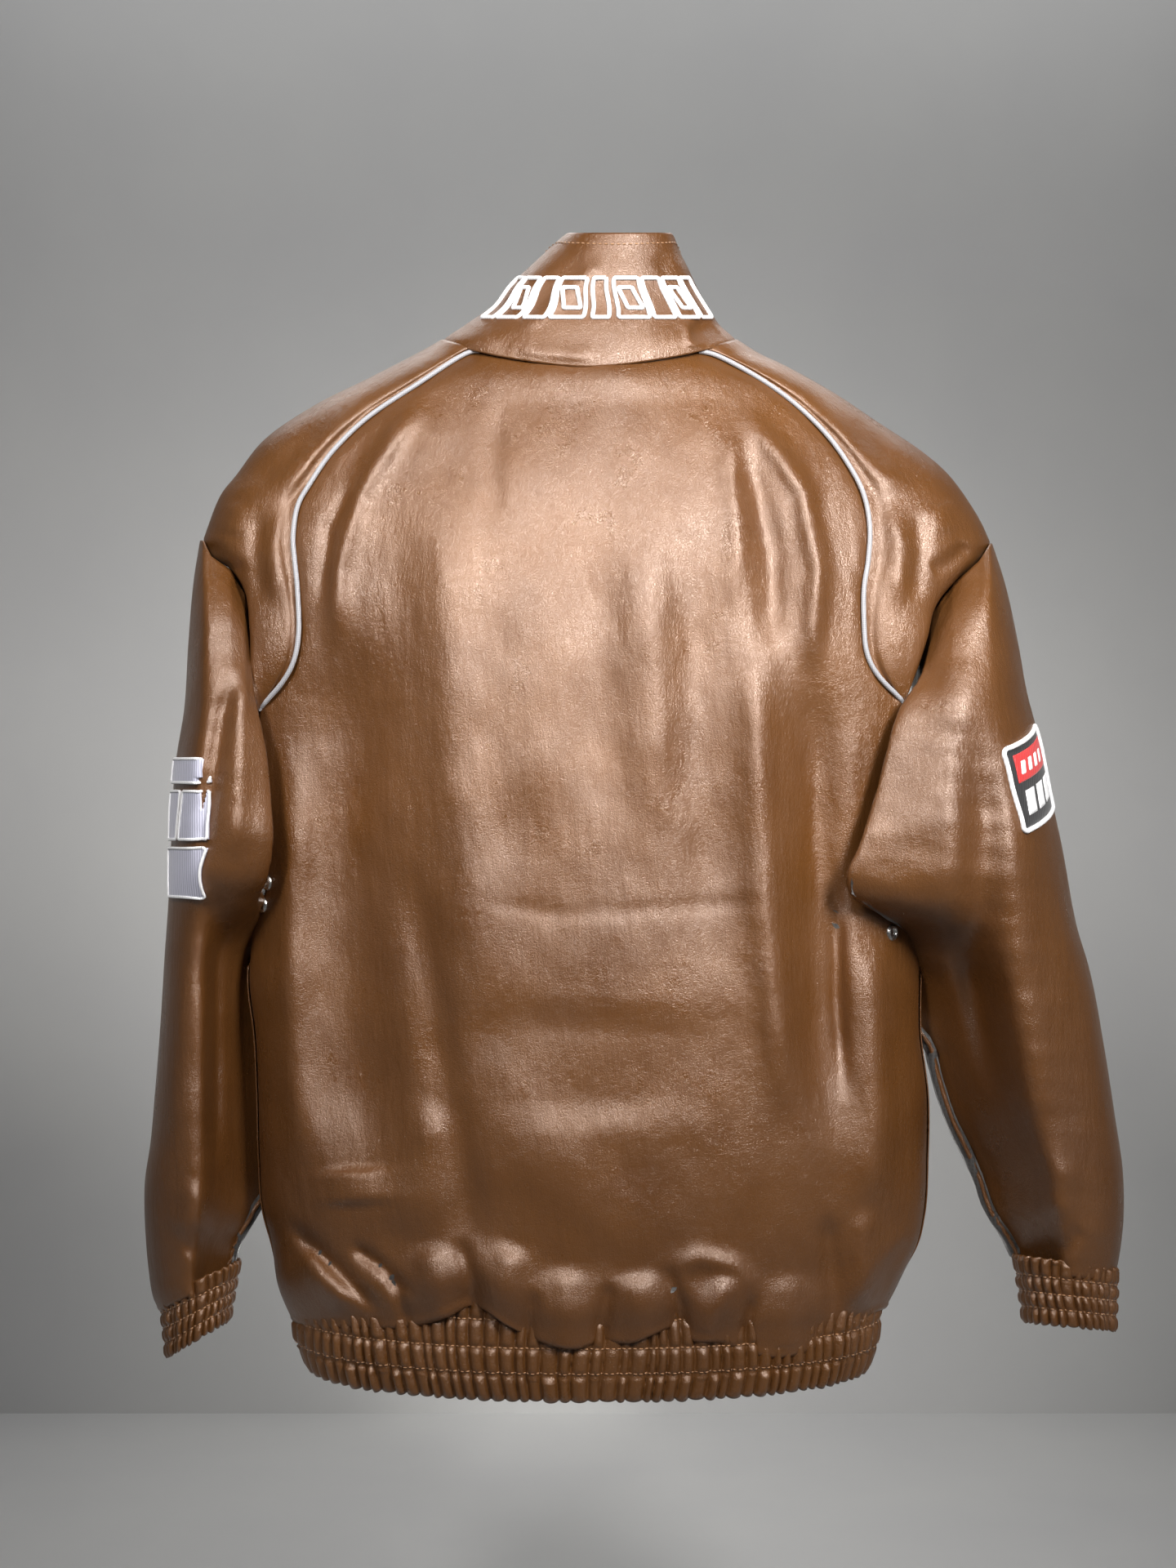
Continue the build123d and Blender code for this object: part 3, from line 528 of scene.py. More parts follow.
HEM_GATHERS = [
    ([(79, -656), (78, -630), (90, -596)], 6, -6.0), ([(62, -670), (60, -640), (50, -600)], 12, 7.0),
    ([(98, -664), (104, -630), (112, -600)], 12, 7.0), ([(-10, -680), (-9, -656), (-16, -626)], 5.5, -6.0),
    ([(-64, -672), (-63, -645), (-50, -614)], 5.5, -6.0),
    ([(-80, -674), (-86, -650), (-100, -622)], 10, 6.5), ([(-40, -677), (-38, -650), (-30, -620)], 13, 6.0),
    ([(18, -684), (16, -650), (14, -615)], 14, 5.5),
    ([(-56, -622), (-76, -612), (-100, -618), (-118, -640)], 7, 5.0),
    ([(-112, -686), (-108, -660), (-114, -636)], 4.0, -6.0),
    ([(-140, -686), (-138, -655), (-135, -620)], 13, 5.0),
    ([(210, -585), (172, -618), (138, -652)], 5.5, -7.0), ([(198, -606), (180, -628), (160, -650)], 8, 5.0),
    ([(165, -601), (140, -618), (117, -640)], 4.5, -5.5), ([(160, -548), (158, -578)], 22, 6.0),
    ([(-190, -575), (-188, -655)], 9, 6.0), ([(-224, -598), (-208, -616), (-198, -640)], 5, -5.0),
    ([(-164, -580), (-168, -660)], 8, -6.0), ([(42, -676), (40, -652), (36, -632)], 4, -4.5),
    ([(122, -660), (128, -640), (136, -622)], 4.0, -4.0),
]


def back_relief(x, z):
    """Folds of the back, seen at x, z."""
    h = FOLD_DEPTH * folds(x, z, BACK_FOLDS)
    for path, width, height in HEM_GATHERS:
        h += stroke(x, z, path, width, height, 0.25)
    for side in SIDES:
        h += stroke(x, z, PIPING_SEEN[side], 4.5, -2.4, 0.03)
    h += noise(x, z, 90, 3) + 0.5 * noise(x, z * 0.5, 30, 4) + 0.22 * noise(x, z * 0.4, 13, 5)
    return h


def blouse_edge(x):
    """Height at which the body tucks in above the hem band, as seen."""
    return table(x, BLOUSE_Z)


def back_panel_grid(rows=250, columns=200, tuck_rows=8):
    left = along(PIPING_SEEN["left"] + ARMHOLE_SEEN["left"][1:], 400)
    right = along(PIPING_SEEN["right"] + ARMHOLE_SEEN["right"][1:], 400)
    v = np.linspace(0, 1, rows)
    u = np.linspace(0, 1, columns)
    grid = np.zeros((rows + tuck_rows, columns, 3))
    low = -398.0
    share = (10 - low) / (10 + 650)
    for r, t in enumerate(v):
        if t < share:
            k = int(t / share * 399)
            a, b = left[k], right[k]
            phi_a, phi_b = phi_at(a[0], a[1]), phi_at(b[0], b[1])
            z_a, z_b = a[1], b[1]
            turn = smooth((t - share * 0.93) / (share * 0.07))
            phi_a += (math.pi / 2 - phi_a) * turn
            phi_b += (-math.pi / 2 - phi_b) * turn
        else:
            z_a = z_b = low + (t - share) / (1 - share) * (-650 - low)
            phi_a, phi_b = math.pi / 2, -math.pi / 2
        phi = phi_a + (phi_b - phi_a) * u
        z = z_a + (z_b - z_a) * u
        z = z - 6.0 * np.sin(np.pi * u) ** 0.8 * (1 - smooth(t / 0.12))
        # towards the hem the rows follow the scalloped tuck
        x0, _ = body_point(phi, z)
        near_hem = smooth((t - 0.80) / 0.20)
        z = z + (blouse_edge(x0) + 650) * near_hem
        x, y = body_point(phi, z)
        facing = np.clip(np.cos(phi) * 2.2, 0, 1)
        swell = 7.0 * np.exp(-(((z - blouse_edge(x0) - 20) / 20) ** 2))
        y = y + facing * (back_relief(x, z) + swell)
        x = x * (1 + 0.012 * near_hem * np.exp(-(((z + 632) / 22) ** 2)))
        grid[r] = placed(x, y, z)
    roll_under(grid, rows, np.zeros(3), 5.5)
    return grid


back_grid = back_panel_grid()
back = sheet_mesh("back_panel_leather", back_grid, LEATHER, inward=BODY_INSIDE)


# ---- hem band ----------------------------------------------------------------------------------
def gathers(along_mm, pitch, seed):
    """Rounded pleats with sharp valleys, uneven in width, from 0 in a valley to 1 on a crest."""
    r = np.random.default_rng(seed)
    edges = [0.0]
    while edges[-1] < along_mm.max() + pitch:
        edges.append(edges[-1] + pitch * r.uniform(0.65, 1.45))
    edges = np.array(edges)
    i = np.clip(np.searchsorted(edges, along_mm, side="right") - 1, 0, len(edges) - 2)
    t = (along_mm - edges[i]) / (edges[i + 1] - edges[i])
    tall = r.uniform(0.65, 1.15, len(edges))[i]
    return tall * np.sqrt(np.abs(np.sin(np.pi * t)))


def band_grid(ring_at, z_top, z_low, rows, columns, pitch, depth, stitch_rows, seed, closed, scallop=2.0):
    """A gathered band. ring_at gives the ring's points at a height, columns of them."""
    v = np.linspace(0, 1, rows)
    grid = np.zeros((rows, columns, 3))
    base = ring_at(z_top)
    steps = np.linalg.norm(np.diff(np.vstack([base, base[:1]]), axis=0), axis=1)
    at = np.concatenate([[0], np.cumsum(steps)[:-1]])
    for r, t in enumerate(v):
        z = z_top + (z_low - z_top) * t
        ring = ring_at(z)
        tangent = np.roll(ring, -1, 0) - np.roll(ring, 1, 0)
        if not closed:
            tangent[0], tangent[-1] = ring[1] - ring[0], ring[-1] - ring[-2]
        out = np.cross(tangent, [0, 0, 1.0])
        out /= np.linalg.norm(out, axis=1, keepdims=True)
        if (out * ring * [1, 1, 0]).sum() < 0:
            out = -out
        drift = 1.6 * np.sin(t * 5.0 + at / 37.0)
        pleat = gathers(np.maximum(at + drift, 0), pitch, seed)
        if closed:
            pleat = pleat * (1 - np.exp(-((at / 3.0) ** 2))) * (1 - np.exp(-(((at - at[-1]) / 3.0) ** 2)))
        pinch = 1.0
        for s in stitch_rows:
            pinch = pinch * (1 - 0.62 * np.exp(-(((t - s) * (z_top - z_low) / 1.9) ** 2)))
        edge = smooth((1 - t) / 0.06) * 0.55 + 0.45
        grid[r] = ring + out * (depth * (pleat - 0.35) * pinch * edge)[:, None]
        grid[r, :, 2] -= scallop * pleat * smooth((t - 0.8) / 0.2)
    return grid


HEM_TOP, HEM_LOW = -608.0, -686.0
HEM = [(-606, 200, 88, 88), (-630, 200, 88, 88), (-646, 199, 88, 88), (-668, 197, 86, 88),
       (-688, 190, 82, 87)]
ZIP_EDGE = 6.8


def hem_ring(z, columns=1500):
    half_width = table(z, HEM, 1)
    back, front = table(z, HEM, 2), table(z, HEM, 3)
    edge = math.asin(ZIP_EDGE / float(half_width))
    phi = np.linspace(-math.pi + edge, math.pi - edge, columns)
    x = half_width * np.sin(phi)
    y = (back - front) / 2 + (back + front) / 2 * np.cos(phi)
    return np.stack([x, y, np.full(columns, z)], 1)


HEM_STITCH_ROWS = (0.33, 0.56, 0.79)
HEM_INSIDE = (0, 0, -660)
hem_grid = band_grid(hem_ring, HEM_TOP, HEM_LOW, 44, 1500, 8.4, 6.4, HEM_STITCH_ROWS, 5, False)
hem = sheet_mesh("hem_band_leather", hem_grid, LEATHER_BAND, thick=1.4, inward=HEM_INSIDE)


def band_stitches(name, grid, rows, closed, inward):
    """Rows of stitches round a band, at the given shares down it."""
    n = normals(grid, closed, inward)
    pieces = []
    for i, share in enumerate(rows):
        r = int(share * (len(grid) - 1))
        pieces.append(stitches(f"{name}_{i}", grid[r] + n[r] * 0.25, n[r], STITCH, 2.4, 1.4, 0.45))
    return join(name, pieces)


hem_stitching = band_stitches("hem_stitching", hem_grid, HEM_STITCH_ROWS, False, HEM_INSIDE)

# ---- shoulder panels ------------------------------------------------------------------------------
RIDGE_SEEN = {
    "left": [(100, 18), (118, 8), (151, -9), (187, -27), (221, -50), (241, -75), (253, -91), (264, -120)],
    "right": [(-102, 18), (-118, 8), (-137, -1), (-169, -19), (-199, -39), (-229, -59), (-249, -77),
              (-267, -103), (-276, -122)],
}
SEAM_SEEN = {      # the sleeve seam on the back, from the shoulder's tip to the piping's end, with its depth
    "left": [(264, -120, 0), (258, -131, 22), (245, -140, 42), (235, -156, 54), (232, -182, 60),
             (231, -208, 64), (226, -237, 66)],
    "right": [(-276, -122, 0), (-268, -134, 22), (-250, -150, 42), (-238, -166, 54), (-233, -186, 60),
              (-226, -208, 64), (-217, -232, 68)],
}


SHOULDER_FOLDS = [   # path, width, height and taper
    ([(150, -22), (170, -46), (196, -70), (222, -84)], 12, 4.0, 0.3),
    ([(176, -34), (206, -64), (236, -84)], 8, -3.0, 0.3),
    ([(205, -92), (214, -120), (214, -170)], 8, 3.5, 0.3),
    ([(224, -96), (228, -130), (222, -170)], 7, -4.0, 0.3),
    ([(262, -122), (246, -136), (234, -142)], 6, -4.5, 0.2),
    ([(240, -92), (246, -118)], 10, 3.0, 0.3),
]


def shoulder_relief(x, z, sign):
    """Folds of a shoulder panel, given x from the middle outwards."""
    h = folds(x, z, SHOULDER_FOLDS)
    h += 0.7 * noise(x + 300 * sign, z, 60, 11)
    return h


def shoulder_grid(side, front=False, rows=150, columns=70):
    """From the piping (first column) over to the ridge and the sleeve seam (last column)."""
    sign = SIDES[side]
    inner = along(PIPING_SEEN[side], rows)
    ridge, seam = along(RIDGE_SEEN[side], 300), along([(x, z) for x, z, _ in SEAM_SEEN[side]], 300)
    depth = along([(y, z) for _, z, y in SEAM_SEEN[side]], 300)[:, 0]
    ridge_share = 0.62
    grid = np.zeros((rows, columns, 3))
    w = np.linspace(0, 1, columns)
    for r in range(rows):
        t = r / (rows - 1)
        if t < ridge_share:
            outer, y_outer = ridge[int(t / ridge_share * 299)], 0.0
        else:
            k = int((t - ridge_share) / (1 - ridge_share) * 299)
            outer, y_outer = seam[k], depth[k]
        a = inner[r]
        phi = phi_at(a[0], a[1])
        _, y_inner = body_point(phi, a[1])
        angle = w * math.pi / 2
        x = a[0] + (outer[0] - a[0]) * np.sin(angle)
        z = a[1] + (outer[1] - a[1]) * np.sin(angle)
        y = y_outer + (y_inner - y_outer) * np.cos(angle)
        facing = np.clip(np.cos(angle) * 2.5, 0, 1) * smooth(w / 0.12)
        y = y + facing * shoulder_relief(x * sign, z, sign) - 2.2 * np.exp(-(((w - 0.07) / 0.05) ** 2))
        if front:
            # the front is the same cut, a little shallower
            k = 1 - y / EYE_Y
            grid[r] = np.stack([x * k, -y * 0.93, EYE_Z + (z - EYE_Z) * k], axis=-1)
        else:
            grid[r] = placed(x, y, z)
    return grid


shoulders = {}
for side, sign in SIDES.items():
    back_half, front_half = shoulder_grid(side), shoulder_grid(side, True)
    shoulders[side] = back_half, front_half
    inside = (sign * 170, 0, -140)
    pieces = [sheet_mesh(f"shoulder_back_{side}", back_half, LEATHER, inward=inside),
              sheet_mesh(f"shoulder_front_{side}", front_half, LEATHER, inward=inside)]
    panel = join(f"shoulder_leather_{side}", pieces)
    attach(panel, "torso")
    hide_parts(f"shoulder_panel_{side}")

    pipes = []
    for half in (back_half, front_half):
        edge = half[:, 0]
        n = normals(half)[:, 1]
        n = n * np.sign((n * (edge - np.array([0, 0, -150]))).sum(1, keepdims=True))
        line = edge + n * 0.5
        pipes.append(tube_mesh(f"pipe_{side}", line[2:], 1.6, PIPING, 10))
    pipe = join(f"piping_cord_{side}", pipes)
    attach(pipe, "torso")
    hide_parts(f"piping_{side}")

# ---- fronts ---------------------------------------------------------------------------------------
VEE_LOW, VEE_SLOPE = -122.0, 62 / 182
FRONT_FOLDS = [   # path, width, height and taper
    ([(60, -150), (64, -330), (58, -560)], 20, 4.0, 0.3),
    ([(96, -130), (92, -300), (86, -420)], 14, -3.5, 0.3),
    ([(180, -250), (186, -400), (180, -560)], 16, 4.0, 0.3),
    ([(40, -600), (46, -650)], 10, 3.0, 0.3),
]


def front_grid(side, rows=230, columns=90):
    """One front, from the side seam or piping (first column) to the zip or the vee (last column)."""
    sign = SIDES[side]
    seam = shoulders[side][1][:, 0]
    grid = np.zeros((rows, columns, 3))
    for r in range(rows):
        t = r / (rows - 1)
        z = -4 + (-652 + 4) * t
        if z > -225:
            x_outer = sign * np.interp(-z, -seam[:, 2], np.abs(seam[:, 0]))
            phi_outer = np.pi - np.arcsin(np.clip(abs(x_outer) / table(z, BODY, 1), 0, 1))
        elif z > -398:
            phi_outer = math.pi - math.radians(62)
        else:
            phi_outer = math.pi - math.radians(62) - math.radians(28) * float(smooth((-398 - z) / 14))
        x_inner = ZIP_EDGE if z < VEE_LOW + 20 else ZIP_EDGE + (z - VEE_LOW - 20) * VEE_SLOPE
        phi_inner = np.pi - np.arcsin(min(1.0, x_inner / float(table(z, BODY, 1))))
        phi = sign * np.linspace(phi_outer, phi_inner, columns)
        zz = np.full(columns, z)
        x, y = body_point(phi, zz)
        from_pocket = np.hypot((np.abs(x) - 125) / 38, (z + 472) / 105)
        calm = smooth((np.abs(x) - 26) / 30) * smooth((from_pocket - 0.9) / 0.4)
        bulge = folds(x * sign, zz, FRONT_FOLDS) + noise(x + 500 * sign, zz, 70, 21)
        y = y - calm * np.clip(-np.cos(phi) * 2, 0, 1) * bulge
        grid[r] = np.stack([x, y, zz], 1)
    return grid


fronts = {}
for side, sign in SIDES.items():
    grid = front_grid(side)
    fronts[side] = grid
    panel = sheet_mesh(f"front_leather_{side}", grid, LEATHER, thick=0.9, inward=BODY_INSIDE)
    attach(panel, "torso")
    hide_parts(f"front_panel_{side}")

for piece, node, name in ((back, "back_panel", "leather"), (hem, "hem_band", "leather")):
    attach(piece, "torso")
    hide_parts(node)
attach(hem_stitching, "torso")

# ---- collar --------------------------------------------------------------------------------------
# Height, left and right edge as seen, and depth behind and in front.
COLLAR = [(-2, 101, 102, 56, 62), (8, 101, 103, 55, 62), (16, 100, 102, 53, 60), (28, 84, 90, 49, 52),
          (39, 68, 83, 44, 46), (55, 54, 74, 40, 38), (66, 42, 69, 38, 34), (78, 29, 63, 35, 30),
          (92, 14, 58, 32, 26)]


def collar_point(phi, z):
    left, right = table(z, COLLAR, 1), table(z, COLLAR, 2)
    back, front = table(z, COLLAR, 3), table(z, COLLAR, 4)
    x = (left - right) / 2 + (left + right) / 2 * np.sin(phi)
    y = np.where(np.cos(phi) > 0, back, front) * np.cos(phi)
    return x, y


def collar_relief(x, z):
    h = 0 * x
    h += stroke(x, z, [(6, 84), (-2, 66), (22, 42), (50, 22)], 6, 2.6, 0.3)
    h += stroke(x, z, [(-70, 30), (-86, 22), (-92, 14)], 8, -5.0, 0.3)
    h += stroke(x, z, [(-66, 34), (-70, 16), (-80, 7), (-98, 14)], 3.2, 2.6, 0.15)
    h += stroke(x, z, [(-50, 80), (-54, 58)], 6, -1.6, 0.3)
    h += stroke(x, z, [(58, 14), (30, 8), (-10, 6)], 7, 1.5, 0.3)
    h += 0.5 * noise(x, z, 40, 31)
    return h


def neck_seam_z(x):
    """Height of the neck seam, as seen."""
    return 0.0 + 17 * (np.abs(x) / 103) ** 1.6


def collar_grid(rows=70, columns=260):
    opening = math.radians(40)
    phi = np.linspace(-math.pi + opening, math.pi - opening, columns)
    grid = np.zeros((rows, columns, 3))
    for r in range(rows):
        t = r / (rows - 1)
        x0, _ = collar_point(phi, 8 + 0 * phi)
        low = neck_seam_z(x0) - 1 - 22 * smooth((np.abs(phi) - math.pi / 2) / 0.9)
        high = 91 - 26 * smooth((np.abs(phi) - math.radians(70)) / math.radians(70))
        z = low + (high - low) * t
        x, y = collar_point(phi, z)
        facing = np.clip(np.cos(phi) * 2.5, 0, 1)
        y = y + facing * collar_relief(x, z) * smooth(t / 0.08)
        grid[r] = placed(x, y, z)
    return grid


collar_out = collar_grid()
COLLAR_INSIDE = (-10, 0, 30)
collar = sheet_mesh("collar_leather", collar_out, LEATHER, thick=2.2, inward=COLLAR_INSIDE)
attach(collar, "torso")
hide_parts("collar", "collar_lining")

# ---- sleeves ----------------------------------------------------------------------------------
# Each row: height, outer edge, inner edge, depth of the back, of the inner fold's edge and of the front.
SLEEVE = {
    "left": [(-126, 266, 232, 40, 40, 36), (-150, 270, 232, 62, 56, 50), (-193, 274, 230, 80, 70, 60),
             (-237, 277, 225, 92, 80, 66), (-267, 282, 220, 98, 84, 70), (-298, 285, 217, 100, 86, 72),
             (-330, 286, 216, 100, 88, 74), (-352, 287, 220, 92, 78, 76), (-372, 288, 229, 76, 52, 78),
             (-400, 290, 230, 66, 20, 80), (-449, 293, 229, 62, 6, 80), (-500, 297, 226, 60, 2, 78),
             (-533, 300, 224, 60, 2, 74), (-561, 304, 222, 58, 2, 68), (-593, 303, 226, 54, 4, 60),
             (-610, 301, 236, 48, 6, 52), (-626, 298, 241, 44, 6, 44), (-640, 292, 244, 40, 4, 40)],
    "right": [(-126, 277, 240, 40, 40, 36), (-150, 285, 236, 62, 56, 50), (-193, 295, 226, 82, 74, 60),
              (-225, 301, 214, 92, 82, 66), (-262, 311, 205, 98, 88, 70), (-293, 317, 197, 102, 92, 72),
              (-330, 325, 185, 104, 96, 74), (-352, 329, 177, 102, 94, 76), (-364, 331, 180, 98, 86, 76),
              (-384, 335, 212, 88, 50, 78), (-411, 343, 218, 80, 24, 78), (-468, 354, 230, 72, 6, 76),
              (-513, 361, 243, 66, 2, 72), (-557, 367, 263, 58, 0, 62), (-585, 367, 272, 52, 0, 54),
              (-608, 364, 286, 44, 0, 44), (-622, 361, 292, 40, 0, 38), (-634, 358, 295, 38, 0, 36)],
}
SLEEVE_LOW = {"left": -632.0, "right": -621.0}
# Top and bottom of a cuff: centre, half width, half depth, height there, and slope outwards.
CUFF = {"left": ((267, 26, 41, -626, 0.44), (268, 20, 38, -667, 0.62)),
        "right": ((328, 34, 38, -614, 0.13), (331, 30, 35, -658, 0.10))}
TUCK_ROWS = 8


SLEEVE_FOLDS = {   # path, width, height and taper
    "left": [
        ([(236, -200), (238, -250), (240, -300), (244, -345)], 8, 5, 0.2),
        ([(242, -208), (250, -240), (258, -290), (266, -345)], 6, -7, 0.2),
        ([(262, -150), (266, -230), (272, -300)], 8, 4, 0.2),
        ([(254, -340), (258, -420), (256, -560)], 9, -9, 0.25),
        ([(276, -380), (280, -470), (284, -560)], 12, 6, 0.3),
        ([(262, -410), (264, -480), (262, -540)], 5, 3, 0.3),
        ([(262, -590), (276, -612)], 7, -4, 0.3),
        ([(262, -560), (282, -600)], 9, 4, 0.3),
    ],
    "right": [
        ([(262, -190), (258, -260), (254, -340), (250, -390)], 16, 5, 0.25),
        ([(264, -230), (270, -320), (264, -400), (266, -470), (262, -530)], 15, -11, 0.25),
        ([(290, -230), (296, -320), (300, -420), (318, -520)], 18, 6, 0.3),
        ([(246, -400), (246, -460), (254, -520)], 9, 5, 0.3),
        ([(330, -540), (318, -590)], 12, 4, 0.3),
        ([(340, -590), (322, -612)], 6, -3, 0.3),
    ],
}


def sleeve_relief(side, x, z):
    """Folds of a sleeve's back, given x from the middle outwards."""
    h = folds(x, z, SLEEVE_FOLDS[side])
    h += 0.8 * noise(x, z, 50, 41) + 0.35 * noise(x, z, 22, 42)
    return h


def sleeve_ring(side, z, columns=200):
    """One ring of a sleeve: seen x, depth y. It starts at the outer edge and goes round the back."""
    rows = SLEEVE[side]
    outer, inner = float(table(z, rows, 1)), float(table(z, rows, 2))
    back, fold, front = (float(table(z, rows, k)) for k in (3, 4, 5))
    wide = outer - inner
    hide = 226.0
    if z < -350:                                # the inner side tucks in behind the body's edge
        hide += (min(hide, 219.0) - hide) * float(smooth((-350 - z) / 20))
    leaves = {"left": -560, "right": -440}[side]
    if z < leaves:
        hide += (inner + 6 - hide) * float(smooth((leaves - z) / 30))
    overlap = smooth((hide - inner - 6) / 10)
    lobe = float(smooth((fold - 8) / 50))       # 1 where the back folds over, 0 where it falls away
    key = [(outer, 0), (outer - 0.06 * wide, 0.52 * back), (outer - 0.24 * wide, 0.88 * back),
           (inner + (0.50 + 0.05 * (1 - lobe)) * wide, back),
           (inner + (0.16 + 0.22 * (1 - lobe)) * wide,
            lobe * (0.5 * (back + fold) + 2) + (1 - lobe) * 0.55 * back),
           (inner + 0.10 * (1 - lobe) * wide, lobe * fold + (1 - lobe) * (fold - 8)),
           (inner + 4 + 0.5 * (hide - inner - 4), fold - 6 - 3 * overlap - 12 * (1 - lobe)),
           (hide, 0.45 * fold - 4), (hide + 1, -0.55 * front), (hide + 0.3 * (outer - hide), -0.95 * front),
           (outer - 0.30 * (outer - hide), -0.93 * front), (outer - 0.05 * wide, -0.5 * front)]
    return along(key, columns, closed=True)


def sleeve_grid(side, rows=210, columns=200):
    sign = SIDES[side]
    grid = np.zeros((rows + TUCK_ROWS, columns, 3))
    low = SLEEVE_LOW[side]
    (centre, _, _, _, slope), _ = CUFF[side]
    seam = sorted((abs(x), min(-126 - z, 44)) for x, z, _ in SEAM_SEEN[side])
    for r, z in enumerate(np.linspace(-126, low, rows)):
        ring = sleeve_ring(side, z, columns)
        x, y = ring[:, 0], ring[:, 1]
        # the head follows the sleeve seam, and the lower edge slopes with the cuff
        drop = np.interp(x, [a for a, _ in seam], [b for _, b in seam])
        near_cuff = smooth((z + 550) / (low + 550))
        zz = z - drop * (1 - smooth((-126 - z) / 140)) - slope * (x - centre) * near_cuff
        back_facing = smooth((y - 14) / 26)
        relief = sleeve_relief(side, x, zz)
        y = y + back_facing * relief * smooth((-130 - z) / 40)
        grid[r] = placed(sign * x, y, zz)
    roll_under(grid, rows, grid[rows - 1].mean(0), 4.5)
    return grid


def bend_with_sleeve(piece):
    """Bakes the piece's placement into its mesh; the piece is not attached to any body."""
    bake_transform(piece)


def lining_mesh(name, grids, depth, inward, step=3, closed=False):
    """Lining inside the given grids, that far behind them."""
    pieces = []
    for grid in grids:
        n = normals(grid, closed, inward)
        inner = grid - n * np.asarray(depth)
        rows = np.linspace(0, grid.shape[0] - 1, grid.shape[0] // step).astype(int)
        columns = np.linspace(0, grid.shape[1] - (step if closed else 1), grid.shape[1] // step).astype(int)
        inner = inner[rows][:, columns]
        ripple = 0.5 * noise(inner[..., 0] + inner[..., 1], inner[..., 2], 22, 51)
        inner = inner + ripple[..., None] * n[rows][:, columns]
        pieces.append(sheet_mesh(name, inner, LINING, thick=0.5, closed=closed, inward=inward))
    return join(name, pieces)


sleeve_grids = {}
for side, sign in SIDES.items():
    grid = sleeve_grid(side)
    sleeve_grids[side] = grid
    middle = (sign * 262, 10, -380)
    tube = sheet_mesh(f"sleeve_leather_{side}", grid, LEATHER, closed=True, inward=middle)
    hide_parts(f"top_sleeve_{side}", f"under_sleeve_{side}")
    bend_with_sleeve(tube)
    inner = lining_mesh(f"sleeve_lining_cloth_{side}", [grid[2:-TUCK_ROWS - 2]], 3.0, middle, closed=True)
    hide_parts(f"sleeve_lining_{side}")
    bend_with_sleeve(inner)

# ---- cuffs ---------------------------------------------------------------------------------------
CUFF_STITCH_ROWS = (0.30, 0.54, 0.78)


def cuff_ring(side, t, inset=0.0, columns=520):
    """One ring of a cuff, t from 0 at its seam to 1 at its lower edge."""
    top, low = CUFF[side]
    centre, wide, deep, z, slope = (a + (b - a) * t for a, b in zip(top, low))
    phi = np.linspace(0, 2 * math.pi, columns, endpoint=False)
    x = (wide - inset) * np.cos(phi)
    return placed(SIDES[side] * (centre + x), (deep - inset) * np.sin(phi), z - slope * x)


def cuff_grid(side, depth=5.0, inset=0.0, columns=520, rows=40, pitch=7.6, seed=3):
    """A gathered cuff: pleats round the ring, pinched at the stitch rows."""
    base = cuff_ring(side, 0, inset, columns)
    at = np.concatenate([[0], np.cumsum(np.linalg.norm(np.diff(base, axis=0), axis=1))])
    middle = np.array([SIDES[side] * CUFF[side][0][0], 0, 0])
    grid = np.zeros((rows, columns, 3))
    for r in range(rows):
        t = r / (rows - 1)
        ring = cuff_ring(side, t, inset, columns)
        out = (ring - middle) * [1, 1, 0]
        out /= np.linalg.norm(out, axis=1, keepdims=True)
        pleat = gathers(np.maximum(at + 1.4 * np.sin(t * 5 + at / 23), 0), pitch, seed)
        pinch = 1.0
        for share in CUFF_STITCH_ROWS:
            pinch = pinch * (1 - 0.6 * np.exp(-(((t - share) * 42 / 1.9) ** 2)))
        pinch = pinch * (0.45 + 0.55 * smooth((1 - t) / 0.07)) * smooth((t + 0.08) / 0.15)
        grid[r] = ring + out * (depth * (pleat - 0.35) * pinch)[:, None]
        grid[r, :, 2] -= 1.8 * pleat * smooth((t - 0.8) / 0.2)
    return grid


for side, sign in SIDES.items():
    middle = (sign * CUFF[side][0][0], 0, -645)
    grid = cuff_grid(side)
    cuff = sheet_mesh(f"cuff_leather_{side}", grid, LEATHER_BAND, thick=1.3, closed=True, inward=middle)
    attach(cuff, f"{side}_sleeve")
    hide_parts(f"cuff_{side}")
    rows = band_stitches(f"cuff_stitching_{side}", grid, CUFF_STITCH_ROWS, True, middle)
    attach(rows, f"{side}_sleeve")
    inner = sheet_mesh(f"cuff_elastic_cloth_{side}", cuff_grid(side, 1.4, 4.6, 260, 24, 4.0, 9)[1:-2],
                       ELASTIC, thick=1.2, closed=True, inward=middle)
    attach(inner, f"{side}_sleeve")
    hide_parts(f"cuff_elastic_{side}")

# ---- sleeve emblems ---------------------------------------------------------------------------------
def sleeve_spot(side, s, z):
    """A point on the sleeve and its outward direction: s goes round from the outer edge to the back."""
    grid = sleeve_grids[side]
    rows = len(grid) - TUCK_ROWS

    def point(s, z):
        # rows near here are level, so the row is found from the height seen
        r = (-126 - z) / (-126 - SLEEVE_LOW[side]) * (rows - 1)
        i = int(np.clip(r, 0, rows - 2))
        ring = grid[i] + (grid[i + 1] - grid[i]) * (r - i)
        loop = np.vstack([ring[100:], ring[:101]])
        steps = np.concatenate([[0], np.cumsum(np.linalg.norm(np.diff(loop, axis=0), axis=1))])
        return np.array([np.interp(s + steps[100], steps, loop[:, k]) for k in range(3)])

    here, round_it, down = point(s, z), point(s + 2, z), point(s, z - 2)
    out = np.cross(down - here, round_it - here)
    out /= np.linalg.norm(out)
    if out[0] * SIDES[side] < 0:
        out = -out
    return here, out


